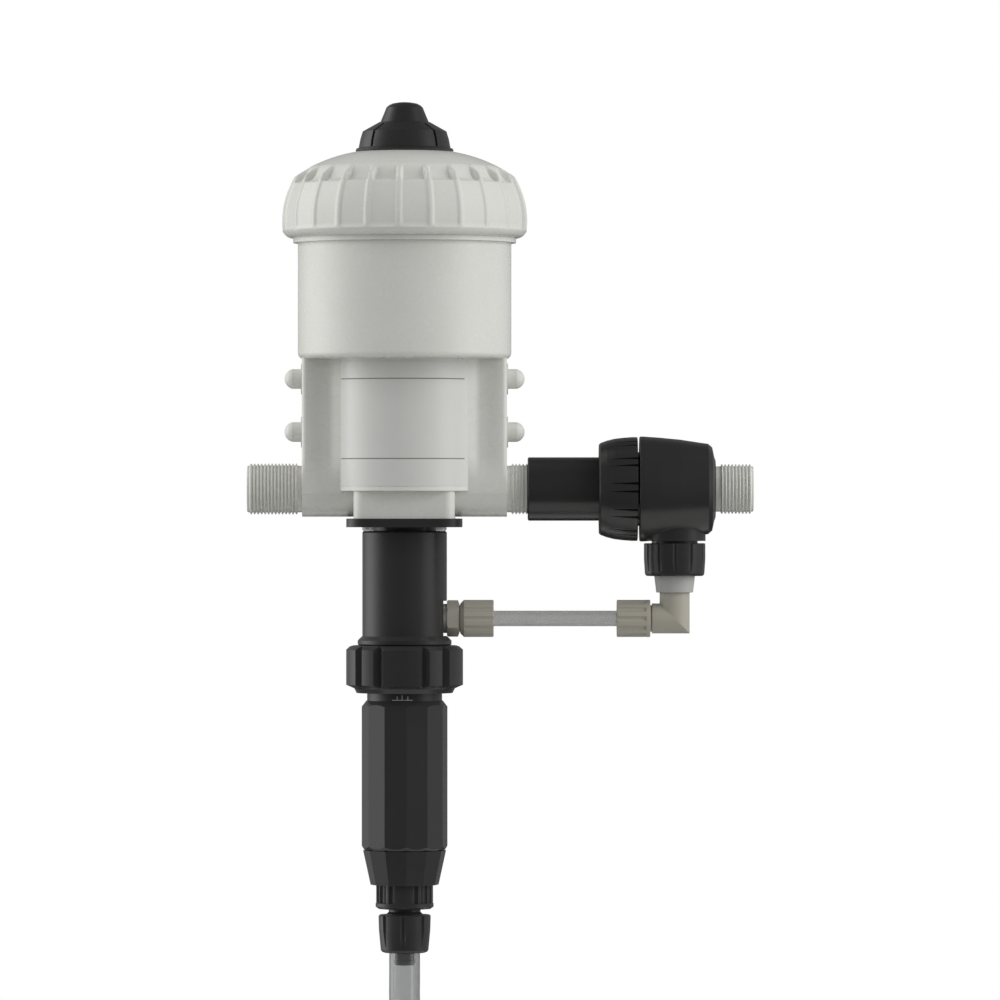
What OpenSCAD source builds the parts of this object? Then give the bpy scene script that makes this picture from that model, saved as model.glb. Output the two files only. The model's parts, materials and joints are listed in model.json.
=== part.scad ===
// Water-powered dosing pump with an outside injection line
// The origin is the middle of the inlet thread, on its axis, and water flows along +X.

/* [Ports] */
// Length of each port beyond the side towers
port_len = 28.6; // [24:0.1:31]
// Plain stretch between a port's end face and its first thread crest
thread_start = 1.102; // [0.3:0.001:2]
// Crest radius of the pipe thread
thread_r = 13.22; // [13:0.01:13.4]
// Distance between neighbouring thread crests
thread_pitch = 1.814; // [1.6:0.002:2.2]
// Depth of the thread grooves
thread_depth = 1.1; // [0.6:0.05:1.3]
// Radius of the water passages
waterway_r = 8.6; // [7:0.1:9.5]
// Radius of the housing that the two ports grow from
port_housing_r = 14.4; // [13.3:0.1:14.5]

/* [Lower body] */
// How far the side towers stand back from the cup's side
tower_in = 2.3; // [1:0.1:4]
// Half-depth of the side towers
tower_depth = 13.2; // [12:0.1:13.2]
// Radius of the towers' outer corners
tower_round = 5; // [3:0.5:6]
// Radius of the round bulge that carries the label
bulge_r = 36; // [35.5:0.1:37]
// How far the bulge reaches below the port axis
bulge_drop = 1; // [0.5:0.5:3]
// Height of the bulge above the port axis
bulge_h = 67.6; // [66:0.2:72]
// Bore radius of the lower, narrow cylinder
lower_bore_r = 30; // [29:0.1:31]
// Height of that bore's floor above the port axis
lower_floor = 3; // [2.5:0.1:4]
// Bore radius of the riser that feeds the wide cylinder
riser_r = 5.6; // [4.5:0.1:5.8]
// Wall between the riser and the outside
riser_wall = 1.6; // [1.4:0.1:2]

/* [Cup and bell] */
// Wall of the cup
cup_wall = 5.5; // [5:0.1:7]
// Height of the cup
cup_h = 60.3; // [58:0.1:64]
// Bore radius of the cup, where the wide piston runs
upper_bore_r = 50; // [49:0.1:51]
// Floor thickness of the cup
cup_floor = 4.4; // [3.5:0.1:6]
// How far the lip under the bell stands out beyond the neck
lip_out = 3.6; // [3.1:0.1:3.8]
// Height of the lip
lip_h = 3.7; // [3:0.1:5]
// Wall of the neck that the bell screws on
neck_wall = 4.4; // [3.8:0.1:4.6]
// Height of the neck above the lip
neck_h = 17.4; // [15:0.2:18]
// Thickness of the bell's skirt over its ribs
bell_wall = 9.5; // [9.1:0.1:11]
// Height of the bell
bell_h = 44.7; // [44:0.1:47]
// How deep the panels lie between the ribs
panel_depth = 1.3; // [1:0.1:2.2]
// Number of ribs round the bell
rib_count = 24; // [20:1:28]
// Width of a rib
rib_w = 2.8; // [2:0.1:4]
// Turn of the rib pattern about the pump axis
rib_phase = -2; // [-7:0.5:7]
// Radius of the bell's shoulder curve
shoulder_r = 42.8; // [41:0.1:44]
// Radius of the bell's flat crown
crown_r = 25.7; // [25.5:0.1:27]
// How far the open pockets in the shoulder reach in from the ribs
pocket_in = 11.4; // [11:0.1:13]
// Depth of a pocket below the crown's edge
pocket_h = 9.9; // [8:0.1:10.5]

/* [Air bleed] */
// Radius of the air-bleed cap's flange
vent_r = 25.5; // [25.3:0.1:26.5]
// Height of the air-bleed cap
vent_h = 15.5; // [14:0.1:17]
// Radius of the button where it leaves the cap
button_r = 12.6; // [12:0.1:13]
// How far the button stands out of the cap
button_h = 10.5; // [9:0.1:11]

/* [Bracket pegs] */
// Radius of the four pegs
peg_r = 5.1; // [4:0.1:5.5]
// How far a peg's tip stands out of its tower
peg_h = 9.2; // [7:0.1:11]
// Height of the lower pegs above the port axis
peg_z = 29.6; // [26:0.1:32]
// Distance between the lower and the upper pegs
peg_pitch = 27.6; // [24:0.1:29]
// Radius of the raised ring at a peg's foot
peg_ring_r = 8; // [7:0.1:8.1]

/* [Boss and plate] */
// Half-width of the square boss under the body
boss_w = 26.2; // [25.8:0.1:28]
// How far the boss reaches below the port axis
boss_drop = 15.4; // [15.4:0.1:18]
// Half-width of the retaining plate
plate_w = 30; // [29:0.1:32]
// Thickness of the retaining plate
plate_h = 4.4; // [4:0.1:5]
// Distance of a plate screw from both middle planes
screw_at = 19; // [18.8:0.1:20]
// Shank radius of a plate screw
screw_r = 1.5; // [1:0.1:1.6]
// Head radius of a plate screw
screw_head_r = 2.7; // [2.2:0.1:3]
// Head height of a plate screw
screw_head_h = 2; // [1.5:0.1:2]

/* [Injection housing] */
// Radius of the injection housing
housing_r = 22; // [21.5:0.1:24]
// Length of the housing below the plate's screws
housing_h = 59.2; // [57:0.2:64]
// Radius of the collar at the housing's lower end
collar_r = 24.4; // [23.5:0.1:25.5]
// Height of that collar, and of the cone above it
collar_h = 2.3; // [2:0.1:4]
// Radius of the chamber inside the housing
chamber_r = 12; // [10:0.1:12.5]
// Distance from the pump axis to the flat round the side port
flat_reach = 20.1; // [19.8:0.1:20.6]
// Half the height and width of that flat
flat_half = 9.2; // [9:0.1:10]
// Height of the side port above the housing's lower end
side_port_up = 13.7; // [13.7:0.1:16]

/* [Dosage setting] */
// Outer radius of the graduated stem
stem_r = 19.5; // [19:0.1:20]
// Bore radius of the graduated stem
stem_bore_r = 16.6; // [16:0.1:17]
// Length of the stem below the housing
stem_h = 79; // [77:0.5:80]
// Radius over the lobes of the lock ring
lock_r = 30.4; // [29:0.1:32]
// Height of the lock ring
lock_h = 24.7; // [22:0.1:25]
// Radius across the corners of the adjusting sleeve
sleeve_r = 22.3; // [22:0.1:23]
// Length of the adjusting sleeve
sleeve_h = 77.5; // [77:0.1:80]
// Stem length that shows above the sleeve at this setting
stem_show = 4; // [3:0.1:8]
// Number of sides of the adjusting sleeve
sleeve_sides = 12; // [8:1:12]
// Bore radius of the dosing cylinder
dosing_r = 7; // [6:0.1:8]

/* [Suction valve and hose joint] */
// Height of the tapered valve housing
foot_h = 17.9; // [15.5:0.1:20]
// Radius of the valve housing at its top
foot_r = 21.6; // [20:0.1:22]
// Radius of the valve housing at its bottom
foot_low_r = 17.7; // [17:0.1:19]
// Height of the fluted valve nut
valve_nut_h = 12.8; // [12.3:0.1:15]
// Radius of the fluted valve nut
valve_nut_r = 14.8; // [14.5:0.1:16]
// Neck between the valve nut and the hose nut
barb_neck = 2.5; // [2:0.1:4]
// Height of the hose nut
hose_nut_h = 20; // [19:0.1:24]
// Radius of the hose nut at its top
hose_nut_r = 13.6; // [12.8:0.1:14]
// Outer radius of the suction hose
hose_r = 8; // [7.8:0.1:8.2]
// Inner radius of the suction hose
hose_bore_r = 6; // [5.8:0.1:6.2]

/* [Motor] */
// Clearance under the piston at the bottom of its stroke
piston_rest = 11; // [10.5:0.1:12]
// Travel of the valve gear in the piston
valve_travel = 5.7; // [4:0.1:5.9]
// Radius of the plunger rod
rod_r = 3; // [2.5:0.1:3.5]

/* [Outlet union] */
// Length of port thread that shows before the union tail
port_show = 10.8; // [9:0.1:12]
// Visible length of the union tail
union_tail_len = 37; // [35:0.1:39]
// Radius of the union tail
tail_r = 16.5; // [15.5:0.1:17]
// Length of the union nut
nut_len = 20.1; // [20:0.1:24]
// Largest radius of the union nut
nut_r = 27; // [26:0.1:28]
// Radius of the tee's threaded neck inside the nut
tee_neck_r = 19.2; // [18.5:0.1:20]
// Gap between the union nut and the tee
tee_gap = 1; // [0.8:0.1:3]
// Length of the tee body
tee_len = 39.5; // [38:0.1:42]
// Radius of the tee body at its open end
tee_r = 27.3; // [26.5:0.1:28]
// Visible length of the threaded outlet nipple
nipple_len = 19.7; // [18.9:0.1:22]
// Crest radius of the nipple's thread
nipple_r = 12.9; // [12.7:0.05:12.9]
// Number of thread crests on the nipple
nipple_crests = 9; // [5:1:9]

/* [Branch] */
// Distance from the tee's nut side to the branch axis
branch_in = 18.3; // [17.5:0.1:19]
// Radius of the branch boss
branch_boss_r = 16.1; // [15.8:0.1:17]
// How far the branch boss reaches below the port axis
branch_drop = 27; // [27:0.1:29]
// Height of the branch nut
branch_nut_h = 17; // [16.8:0.1:19]
// Radius of the branch nut
branch_nut_r = 16; // [15.5:0.1:17]
// Length of the reducer below the branch nut
reducer_show = 8.6; // [8:0.1:12]
// Radius of the reducer where it leaves the nut
reducer_r = 10.6; // [10.2:0.1:10.8]
// Radius of the elbow's two legs
elbow_r = 7.8; // [7.4:0.1:8]

/* [Injection line] */
// Outer radius of the injection tube
tube_r = 4; // [3:0.1:4]
// Radius of the two compression nuts
comp_nut_r = 9.7; // [9.4:0.1:10.6]
// Length of the two compression nuts
comp_nut_len = 17.4; // [17:0.1:20]
// Radius over the corners of the hexagonal fitting
hex_r = 9.5; // [8.7:0.1:10]
// Length of the hexagon
hex_len = 6.5; // [5:0.1:8]
// Gap between the right compression nut and the elbow
elbow_gap = 0.9; // [0.3:0.1:2]
// Gap between the left compression nut and the hexagon
hex_gap = 0.4; // [0.3:0.1:2]

/* [Fits] */
// Gap between pieces that are fixed to each other
seat_gap = 0.05; // [0.02:0.01:0.1]
// Radial gap of a piece that turns or slides
run_gap = 0.3; // [0.2:0.05:0.3]

/* [Hidden] */
$fn = 96;
eps = 0.01;

white_plastic = [0.88, 0.88, 0.86];
black_plastic = [0.16, 0.16, 0.16];
beige_plastic = [0.62, 0.61, 0.54];
grey_plastic = [0.66, 0.67, 0.66];
rubber = [0.1, 0.1, 0.1];
steel = [0.72, 0.72, 0.74];
clear_hose = [0.8, 0.82, 0.82];

// Widths, with the pump axis at zero
cup_r = upper_bore_r + cup_wall;
neck_r = upper_bore_r + neck_wall;
lip_r = neck_r + lip_out;
bell_r = neck_r + bell_wall;
pocket_r = bell_r - pocket_in;
tower_reach = cup_r - tower_in;
port_reach = tower_reach + port_len;
port_crests = floor((port_len - thread_start - 2) / thread_pitch);
thread_mid = port_reach - thread_start - port_crests * thread_pitch / 2;
thread_root_r = thread_r - thread_depth;
nipple_root_r = nipple_r - thread_depth;
crest_flat = 0.18;
tail_at = tower_reach + port_show;
nut_at = tail_at + union_tail_len;
nut_end = nut_at + nut_len;
tee_at = nut_end + tee_gap;
branch_at = tee_at + branch_in;

// Heights, with the port axis at zero
cup_z = bulge_h;
cup_top = cup_z + cup_h;
lip_top = cup_top + lip_h;
neck_top = lip_top + neck_h;
bell_low = lip_top - 1.1;
crown_z = bell_low + bell_h;
upper_floor = cup_z + cup_floor;
boss_low = -boss_drop;
plate_low = boss_low - plate_h;
housing_top = plate_low - screw_head_h;
housing_low = housing_top - housing_h;
side_port_z = housing_low + side_port_up;
stem_low = housing_low - stem_h;
lock_top = housing_low - run_gap;
lock_low = lock_top - lock_h;
sleeve_top = lock_low - stem_show;
sleeve_low = sleeve_top - sleeve_h;
foot_top = sleeve_low - run_gap;
foot_low = foot_top - foot_h;
valve_nut_low = foot_low - valve_nut_h;
hose_nut_top = valve_nut_low - barb_neck;
hose_nut_low = hose_nut_top - hose_nut_h;

// Torus of round cord, as for an O-ring
module o_ring(ring_r, cord_r) {
    rotate_extrude() translate([ring_r, 0]) circle(r = cord_r, $fn = 48);
}

// Places a shape on the pump axis
module on_pump_axis(z = 0) {
    translate([thread_mid, 0, z]) children();
}

// Places a shape that was drawn along +Z so that it lies along +X
module along_x(x, z = 0) {
    translate([thread_mid + x, 0, z]) rotate([0, 90, 0]) children();
}

// Places a shape on the upright axis of the branch
module on_branch(z = 0) {
    translate([thread_mid + branch_at, 0, z]) children();
}

// Points of a round stretch of an outline, from angle a0 to angle a1
function arc(cx, cz, r, a0, a1, n = 6) = [
    for (i = [0 : n]) let (a = a0 + (a1 - a0) * i / n) [cx + r * cos(a), cz + r * sin(a)]
];

// Points of one thread crest; its top is flat over twice the given width, or sharp
function crest(z, r, flat) = [
    [r - thread_depth, z - 0.42 * thread_pitch],
    each flat > 0 ? [[r, z - flat], [r, z + flat]] : [[r, z]],
    [r - thread_depth, z + 0.42 * thread_pitch]
];

// Pipe end along +Z with a row of crests round its middle height, open through its bore
module threaded_pipe(length, middle, count, r, flat) {
    first = middle - (count - 1) / 2 * thread_pitch;
    root_r = r - thread_depth;
    rotate_extrude() polygon(concat(
        [[waterway_r, 0], [root_r, 0]],
        [for (i = [0 : count - 1]) each crest(first + i * thread_pitch, r, flat)],
        [[root_r, length - 0.4], [root_r - 0.4, length], [waterway_r, length]]
    ));
}

// Square with round corners, centred, standing on its base
module round_square(half, corner, height) {
    linear_extrude(height) union() {
        square([2 * half, 2 * (half - corner)], center = true);
        square([2 * (half - corner), 2 * half], center = true);
        for (x = [-1, 1], y = [-1, 1])
            translate([x * (half - corner), y * (half - corner)]) circle(r = corner);
    }
}

// Unit vector
function unit(v) = v / norm(v);

// Ring of points round a path at one of its points
function ring_at(p, dir, up, r, sides) = let (side = unit(cross(dir, up)), top = cross(side, dir)) [
    for (k = [0 : sides - 1]) p + r * (cos(360 * k / sides) * side + sin(360 * k / sides) * top)
];

// Round bar swept along a list of points that is never parallel to up
module swept_bar(path, r, sides, up) {
    n = len(path);
    rings = [
        for (i = [0 : n - 1]) each
            ring_at(path[i], unit(path[min(i + 1, n - 1)] - path[max(i - 1, 0)]), up, r, sides)
    ];
    walls = [
        for (i = [0 : n - 2], k = [0 : sides - 1]) let (
            a = i * sides + k, b = i * sides + (k + 1) % sides, c = a + sides, d = b + sides
        ) each [[a, b, d], [a, d, c]]
    ];
    first_cap = [[for (k = [0 : sides - 1]) sides - 1 - k]];
    last_cap = [[for (k = [0 : sides - 1]) (n - 1) * sides + k]];
    polyhedron(rings, concat(walls, first_cap, last_cap), convexity = 6);
}

// Helical spring along +Z from its base to its height
module coil_spring(ring_r, wire_r, height, turns, steps = 12) {
    rise = height - 2 * wire_r;
    path = [
        for (i = [0 : turns * steps]) let (a = 360 * i / steps)
            [ring_r * cos(a), ring_r * sin(a), wire_r + rise * i / (turns * steps)]
    ];
    swept_bar(path, wire_r, 6, [0, 0, 1]);
}

// Tower, web and bulge seen from above, for one side of the pump
cove_r = 6.2;
cove_x = tower_reach - 8.6;
cove_y = tower_depth + 0.2;
web_depth = 8;

module lower_section() {
    difference() {
        union() {
            circle(r = bulge_r);
            square([2 * (tower_reach - tower_round), 2 * tower_depth], center = true);
            square([2 * tower_reach, 2 * (tower_depth - tower_round)], center = true);
            for (x = [-1, 1], y = [-1, 1])
                translate([x * (tower_reach - tower_round), y * (tower_depth - tower_round)])
                    circle(r = tower_round);
        }
        for (x = [-1, 1], y = [-1, 1]) in_quarter(x, y) difference() {
            union() {
                translate([cove_x, cove_y]) circle(r = cove_r);
                translate([lower_bore_r, web_depth]) square([cove_x - lower_bore_r, tower_depth]);
            }
            circle(r = bulge_r);
        }
    }
}

// Mirrors a flat shape into one of the four quarters
module in_quarter(x, y) {
    mirror([x < 0 ? 1 : 0, 0]) mirror([0, y < 0 ? 1 : 0]) children();
}

// Outside of the cup, the lip and the neck
module cup_outside() {
    rotate_extrude() polygon(concat(
        [[0, cup_z]],
        arc(cup_r - 3, cup_z + 3, 3, -90, 0),
        [
            [cup_r, cup_top], [lip_r, cup_top], [lip_r, lip_top], [neck_r, lip_top],
            [neck_r, neck_top - 0.8], [neck_r - 0.8, neck_top], [0, neck_top]
        ]
    ));
}

// Peg that a wall bracket snaps onto, along +X from the tower's face
peg_tip_r = peg_r + 0.15;
peg_ring_h = 0.6;
module bracket_peg() {
    rotate([0, 90, 0]) {
        translate([0, 0, -2]) cylinder(r = peg_ring_r, h = 2 + peg_ring_h);
        translate([0, 0, -2]) cylinder(r = peg_r, h = 2 + peg_h - peg_r);
        intersection() {
            cylinder(r = peg_r, h = peg_h + 1);
            translate([0, 0, peg_h - peg_tip_r]) sphere(r = peg_tip_r);
        }
    }
}

// Screw places in the four corners of the boss
module at_screws() {
    for (x = [-1, 1], y = [-1, 1]) translate([x * screw_at, y * screw_at, 0]) children();
}

spigot_r = 14.7;
spigot_h = 5.1;
bush_r = 9;
riser_x = tower_reach - riser_wall - riser_r;

module body() {
    color(white_plastic) on_pump_axis() difference() {
        union() {
            cup_outside();
            translate([0, 0, -bulge_drop]) cylinder(r = bulge_r, h = cup_z + bulge_drop + 1);
            linear_extrude(cup_z + 1) lower_section();
            translate([-tower_reach, 0, 0]) rotate([0, 90, 0])
                cylinder(r = port_housing_r, h = 2 * tower_reach);
            translate([0, 0, boss_low]) round_square(boss_w, 5, boss_drop + 0.5);
            // The inlet's crests are flat on top, and the outlet's, which the union covers, are sharp
            for (side = [0, 180]) rotate([0, 0, side]) {
                translate([tower_reach - eps, 0, 0]) rotate([0, 90, 0])
                    threaded_pipe(port_len + eps, thread_mid - tower_reach, port_crests, thread_r,
                        side == 180 ? crest_flat : 0);
                for (z = [peg_z, peg_z + peg_pitch]) translate([tower_reach, 0, z]) bracket_peg();
            }
        }
        // Wide and narrow cylinder
        translate([0, 0, upper_floor]) cylinder(r = upper_bore_r, h = neck_top - upper_floor + 1);
        translate([0, 0, lower_floor]) cylinder(r = lower_bore_r, h = upper_floor - lower_floor + 1);
        // Inlet passage and its riser to the wide cylinder
        translate([-port_reach - 1, 0, 0]) rotate([0, 90, 0])
            cylinder(r = waterway_r, h = port_reach - riser_x + riser_r / 2 + 1);
        translate([-riser_x, 0, 0]) cylinder(r = riser_r, h = upper_floor + 0.5);
        // Outlet passage from the narrow cylinder
        translate([lower_bore_r - 12, 0, 0]) rotate([0, 90, 0])
            cylinder(r = waterway_r, h = port_reach - lower_bore_r + 13);
        // Seat of the injection housing, the rod bush and the screws
        translate([0, 0, boss_low - 1]) cylinder(r = spigot_r + seat_gap, h = spigot_h + 1 + seat_gap);
        translate([0, 0, boss_low]) cylinder(r = bush_r + seat_gap, h = boss_drop + lower_floor + 1);
        at_screws() translate([0, 0, boss_low - 1]) cylinder(r = screw_r + seat_gap, h = 10 + seat_gap);
    }
}

// Printed film on the front of the bulge
label_half = 33;
module label_film() {
    color([0.9, 0.9, 0.89]) on_pump_axis() intersection() {
        difference() {
            translate([0, 0, 1.5]) cylinder(r = bulge_r + seat_gap + 0.2, h = cup_z - 3);
            cylinder(r = bulge_r + seat_gap, h = cup_z);
        }
        translate([-label_half, -bulge_r - 2, 0]) cube([2 * label_half, bulge_r, cup_z]);
    }
}

// Bell outline: the flat shoulder curve runs into a wider crown curve
shoulder_x = bell_r - shoulder_r;
shoulder_z = bell_low + 8.8;
crown_curve_r = 78.8;
crown_curve_in = 13.2;
crown_curve_x = crown_r - crown_curve_in;
crown_curve_z = crown_z - sqrt(crown_curve_r * crown_curve_r - crown_curve_in * crown_curve_in);
rib_end_r = pocket_r - 5;
shoulder_end = 33;
crown_wall = 5.7;
crown_drop = 6.7;
pocket_z = crown_z - crown_drop - pocket_h;

function crown_height(r) = crown_curve_z + sqrt(crown_curve_r * crown_curve_r - pow(r - crown_curve_x, 2));

// Points of the crown curve from one radius up to, but without, another
function crown_line(r_from, r_to, n) = [
    for (i = [0 : n - 1]) let (r = r_from + (r_to - r_from) * i / n) [r, crown_height(r)]
];

// Shoulder and crown curve together, sunk below the ribs by a depth
function bell_curve(depth, r_from) = concat(
    arc(shoulder_x, shoulder_z, shoulder_r - depth, 0, shoulder_end, 8),
    [for (i = [1 : 8]) let (
        r_start = shoulder_x + (shoulder_r - depth) * cos(shoulder_end),
        r = r_start + (r_from - r_start) * i / 8
    ) [r, crown_height(r) - depth * (8 - i) / 8]]
);

module rib() {
    outline = concat(
        [[bell_r - 6, bell_low + 3.2], [bell_r - 0.7, bell_low + 3.1], [bell_r, bell_low + 4.2]],
        bell_curve(0, rib_end_r),
        [[rib_end_r, pocket_z - 2], [pocket_r - 4, pocket_z - 6], [bell_r - 6, pocket_z - 6]]
    );
    rotate([90, 0, 0]) translate([0, 0, -rib_w / 2]) linear_extrude(rib_w) polygon(outline);
}

module bell() {
    panel = [
        for (p = arc(shoulder_x, shoulder_z, shoulder_r - panel_depth, 0, shoulder_end, 10))
            if (p[1] < pocket_z) p
    ];
    panel_end_r = shoulder_x + sqrt(pow(shoulder_r - panel_depth, 2) - pow(pocket_z - shoulder_z, 2));
    skirt_in = neck_r + run_gap;
    wall = 4;
    color(white_plastic) on_pump_axis() difference() {
        union() {
            rotate_extrude() polygon(concat(
                [[0, bell_low], [bell_r - 3.3, bell_low], [bell_r - 2, bell_low + 1.1]],
                [[bell_r - 0.7, bell_low + 3.1], [bell_r, bell_low + 4.2], [bell_r - 0.5, bell_low + 4.9]],
                [[bell_r - panel_depth, bell_low + 5.6]],
                panel,
                [[panel_end_r, pocket_z], [pocket_r, pocket_z]],
                crown_line(pocket_r - 1, crown_r, 5),
                [[crown_r, crown_z], [0, crown_z]]
            ));
            for (i = [0 : rib_count - 1]) rotate([0, 0, rib_phase + 360 * i / rib_count]) rib();
        }
        rotate_extrude() polygon([
            [0, bell_low - 1], [lip_r + run_gap, bell_low - 1], [lip_r + run_gap, lip_top + seat_gap],
            [skirt_in, lip_top + seat_gap], [skirt_in, neck_top + 3], [pocket_r - wall, pocket_z - wall],
            [pocket_r - wall - 2, crown_z - 10], [crown_r, crown_z - crown_wall], [0, crown_z - crown_wall]
        ]);
        cylinder(r = vent_spigot_r + seat_gap, h = crown_z + 1);
    }
}

module bell_o_ring() {
    color(rubber) on_pump_axis(neck_top + 1.5 + seat_gap) o_ring(neck_r - 2, 1.5);
}

// Air-bleed cap and button on the crown of the bell
vent_spigot_r = 9;
vent_top = crown_z + vent_h;
vent_floor = crown_z + 3.3;
button_low = vent_floor + 7;
button_top = vent_top + button_h;
vent_stem_r = 3;
vent_seat = crown_z - 10.2;
vent_groove_w = 1.6;

module vent_cap() {
    color(black_plastic) on_pump_axis() difference() {
        rotate_extrude() polygon([
            [0, vent_seat], [vent_spigot_r, vent_seat], [vent_spigot_r, crown_z + seat_gap],
            [vent_r - 0.3, crown_z + seat_gap], [vent_r, crown_z + 1], [vent_r - 0.6, crown_z + 1.8],
            [vent_r - 1.6, crown_z + 2.1], [vent_r - 2.4, crown_z + 6.4], [vent_r - 3.7, vent_top - 4.8],
            [button_r + 1.2, vent_top - 0.3], [button_r + 0.7, vent_top], [0, vent_top]
        ]);
        translate([0, 0, vent_floor]) cylinder(r = button_r + run_gap, h = vent_h);
        translate([0, 0, vent_seat - 1]) cylinder(r = vent_stem_r + run_gap, h = vent_h + 20);
        for (a = [-45 : 90 : 225]) rotate([90, 0, a]) linear_extrude(vent_groove_w, center = true)
            polygon([
                [button_r + 1.8, vent_top + 1], [button_r + 1.8, vent_top - 1.8],
                [vent_r - 4.8, vent_top - 5.4], [vent_r - 3.5, crown_z + 6.2],
                [vent_r - 2.7, crown_z + 2.4], [vent_r + 1, crown_z + 2.4], [vent_r + 1, vent_top + 1]
            ]);
    }
}

module vent_cap_o_ring() {
    color(rubber) on_pump_axis(crown_z - crown_wall - 1 - seat_gap) o_ring(vent_spigot_r + 1 + seat_gap, 1);
}

module vent_button() {
    color(black_plastic) on_pump_axis() rotate_extrude() polygon([
        [0, vent_seat - 4.2], [6, vent_seat - 4.2], [6, vent_seat - 2.2], [vent_stem_r, vent_seat - 2.2],
        [vent_stem_r, button_low + 2], [4.6, button_low + 2], [4.6, button_low], [button_r, button_low],
        [button_r, vent_top], [button_r - 2.2, vent_top + 5.3], [button_r - 3.1, button_top - 2.9],
        [button_r - 4.4, button_top - 1.7], [button_r - 6.2, button_top - 0.8],
        [button_r - 9.6, button_top - 0.2], [0, button_top]
    ]);
}

module vent_seal() {
    color(rubber) on_pump_axis(vent_seat - 1.1) o_ring(vent_stem_r + 1 + seat_gap, 1);
}

module vent_spring() {
    color(steel) on_pump_axis(vent_floor + seat_gap)
        coil_spring(7.4, 0.5, button_low - vent_floor - 2 * seat_gap, 3);
}

// Plate under the boss, with a seat for the housing's flange
flange_r = 18.6;
flange_h = 2;
housing_neck_r = 16.4;
stem_joint = 7;
stem_neck_r = stem_r - 1.5;
fitting_r = 5;

module retaining_plate() {
    color(black_plastic) on_pump_axis() difference() {
        translate([0, 0, plate_low]) round_square(plate_w, 12, plate_h);
        translate([0, 0, plate_low - 1]) cylinder(r = housing_neck_r + seat_gap, h = plate_h + 2);
        translate([0, 0, boss_low - flange_h - seat_gap]) cylinder(r = flange_r + seat_gap, h = flange_h + 1);
        at_screws() translate([0, 0, plate_low - 1]) cylinder(r = screw_r + 2 * seat_gap, h = plate_h + 2);
    }
}

module plate_screws() {
    color(steel) on_pump_axis() at_screws() difference() {
        rotate_extrude($fn = 48) polygon([
            [0, plate_low - screw_head_h], [screw_head_r - 0.6, plate_low - screw_head_h],
            [screw_head_r, plate_low - screw_head_h + 0.7], [screw_head_r, plate_low - seat_gap],
            [screw_r, plate_low - seat_gap], [screw_r, boss_low + 8], [0, boss_low + 9]
        ]);
        for (a = [0, 90]) rotate([0, 0, a]) translate([0, 0, plate_low - screw_head_h])
            cube([2.6, 0.6, 1.6], center = true);
    }
}

// Black cylinder that holds the dosing side
module injection_housing() {
    color(black_plastic) on_pump_axis() difference() {
        rotate_extrude() polygon([
            [0, housing_low], [collar_r - 0.4, housing_low], [collar_r, housing_low + 0.4],
            [collar_r, housing_low + collar_h], [housing_r, housing_low + 2 * collar_h],
            [housing_r, housing_top - 0.8], [housing_r - 0.8, housing_top],
            [housing_neck_r, housing_top], [housing_neck_r, boss_low - flange_h],
            [flange_r, boss_low - flange_h], [flange_r, boss_low - seat_gap],
            [spigot_r, boss_low - seat_gap], [spigot_r, boss_low + spigot_h - 0.5],
            [spigot_r - 0.5, boss_low + spigot_h], [0, boss_low + spigot_h]
        ]);
        translate([0, 0, housing_low + stem_joint - 1])
            cylinder(r = chamber_r, h = boss_low - 3 - housing_low - stem_joint);
        translate([0, 0, housing_low + stem_joint]) cylinder(r = rod_r + 2, h = boss_drop - housing_low);
        translate([0, 0, housing_low - 1])
            cylinder(r = stem_neck_r + seat_gap, h = 1 + stem_joint + seat_gap);
        translate([flat_reach, -flat_half, side_port_z - flat_half]) cube([10, 2 * flat_half, 2 * flat_half]);
        translate([chamber_r / 2, 0, side_port_z]) rotate([0, 90, 0])
            cylinder(r = fitting_r + seat_gap, h = housing_r);
        rotate_extrude() translate([spigot_r - 2, boss_low + 1.6]) square([3, 2]);
    }
}

module housing_o_ring() {
    color(rubber) on_pump_axis(boss_low + 2.6) o_ring(spigot_r - 1.02, 0.95);
}

module rod_bush() {
    color(beige_plastic) on_pump_axis() difference() {
        translate([0, 0, boss_low + spigot_h + seat_gap])
            cylinder(r = bush_r, h = lower_floor - boss_low - spigot_h - seat_gap);
        translate([0, 0, boss_low]) cylinder(r = rod_r + seat_gap, h = boss_drop + lower_floor + 1);
    }
}

// Stem that carries the dosage scale
module graduated_stem() {
    top = housing_low + stem_joint;
    color(black_plastic) on_pump_axis() rotate_extrude() polygon([
        [chamber_r - 2, top], [chamber_r - 2, top - 3], [stem_bore_r, top - 3], [stem_bore_r, stem_low],
        [stem_r - 0.6, stem_low], [stem_r, stem_low + 0.6], [stem_r, housing_low - seat_gap],
        [stem_neck_r, housing_low - seat_gap], [stem_neck_r, top]
    ]);
}

// Lobed ring that locks the sleeve
lobes = 5;
lobe_half = 23.5;
lobe_turn = -92.75;
groove_w = 4;
module lock_ring() {
    color(black_plastic) on_pump_axis() difference() {
        rotate_extrude() polygon([
            [stem_r + run_gap, lock_top], [lock_r - 3.6, lock_top], [lock_r - 1.9, lock_top - 0.5],
            [lock_r, lock_top - 2.2], [lock_r, lock_low + 4.2], [lock_r - 4.2, lock_low + 2.4],
            [lock_r - 5.4, lock_low], [stem_r + run_gap, lock_low]
        ]);
        for (i = [0 : lobes - 1], side = [-1, 1])
            rotate([0, 0, 360 / lobes * i + lobe_turn + side * lobe_half])
                translate([lock_r, 0, lock_low - 1]) rotate([0, 0, 45])
                    translate([-groove_w / 2, -groove_w / 2, 0]) cube([groove_w, groove_w, lock_h + 2]);
    }
}

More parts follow.
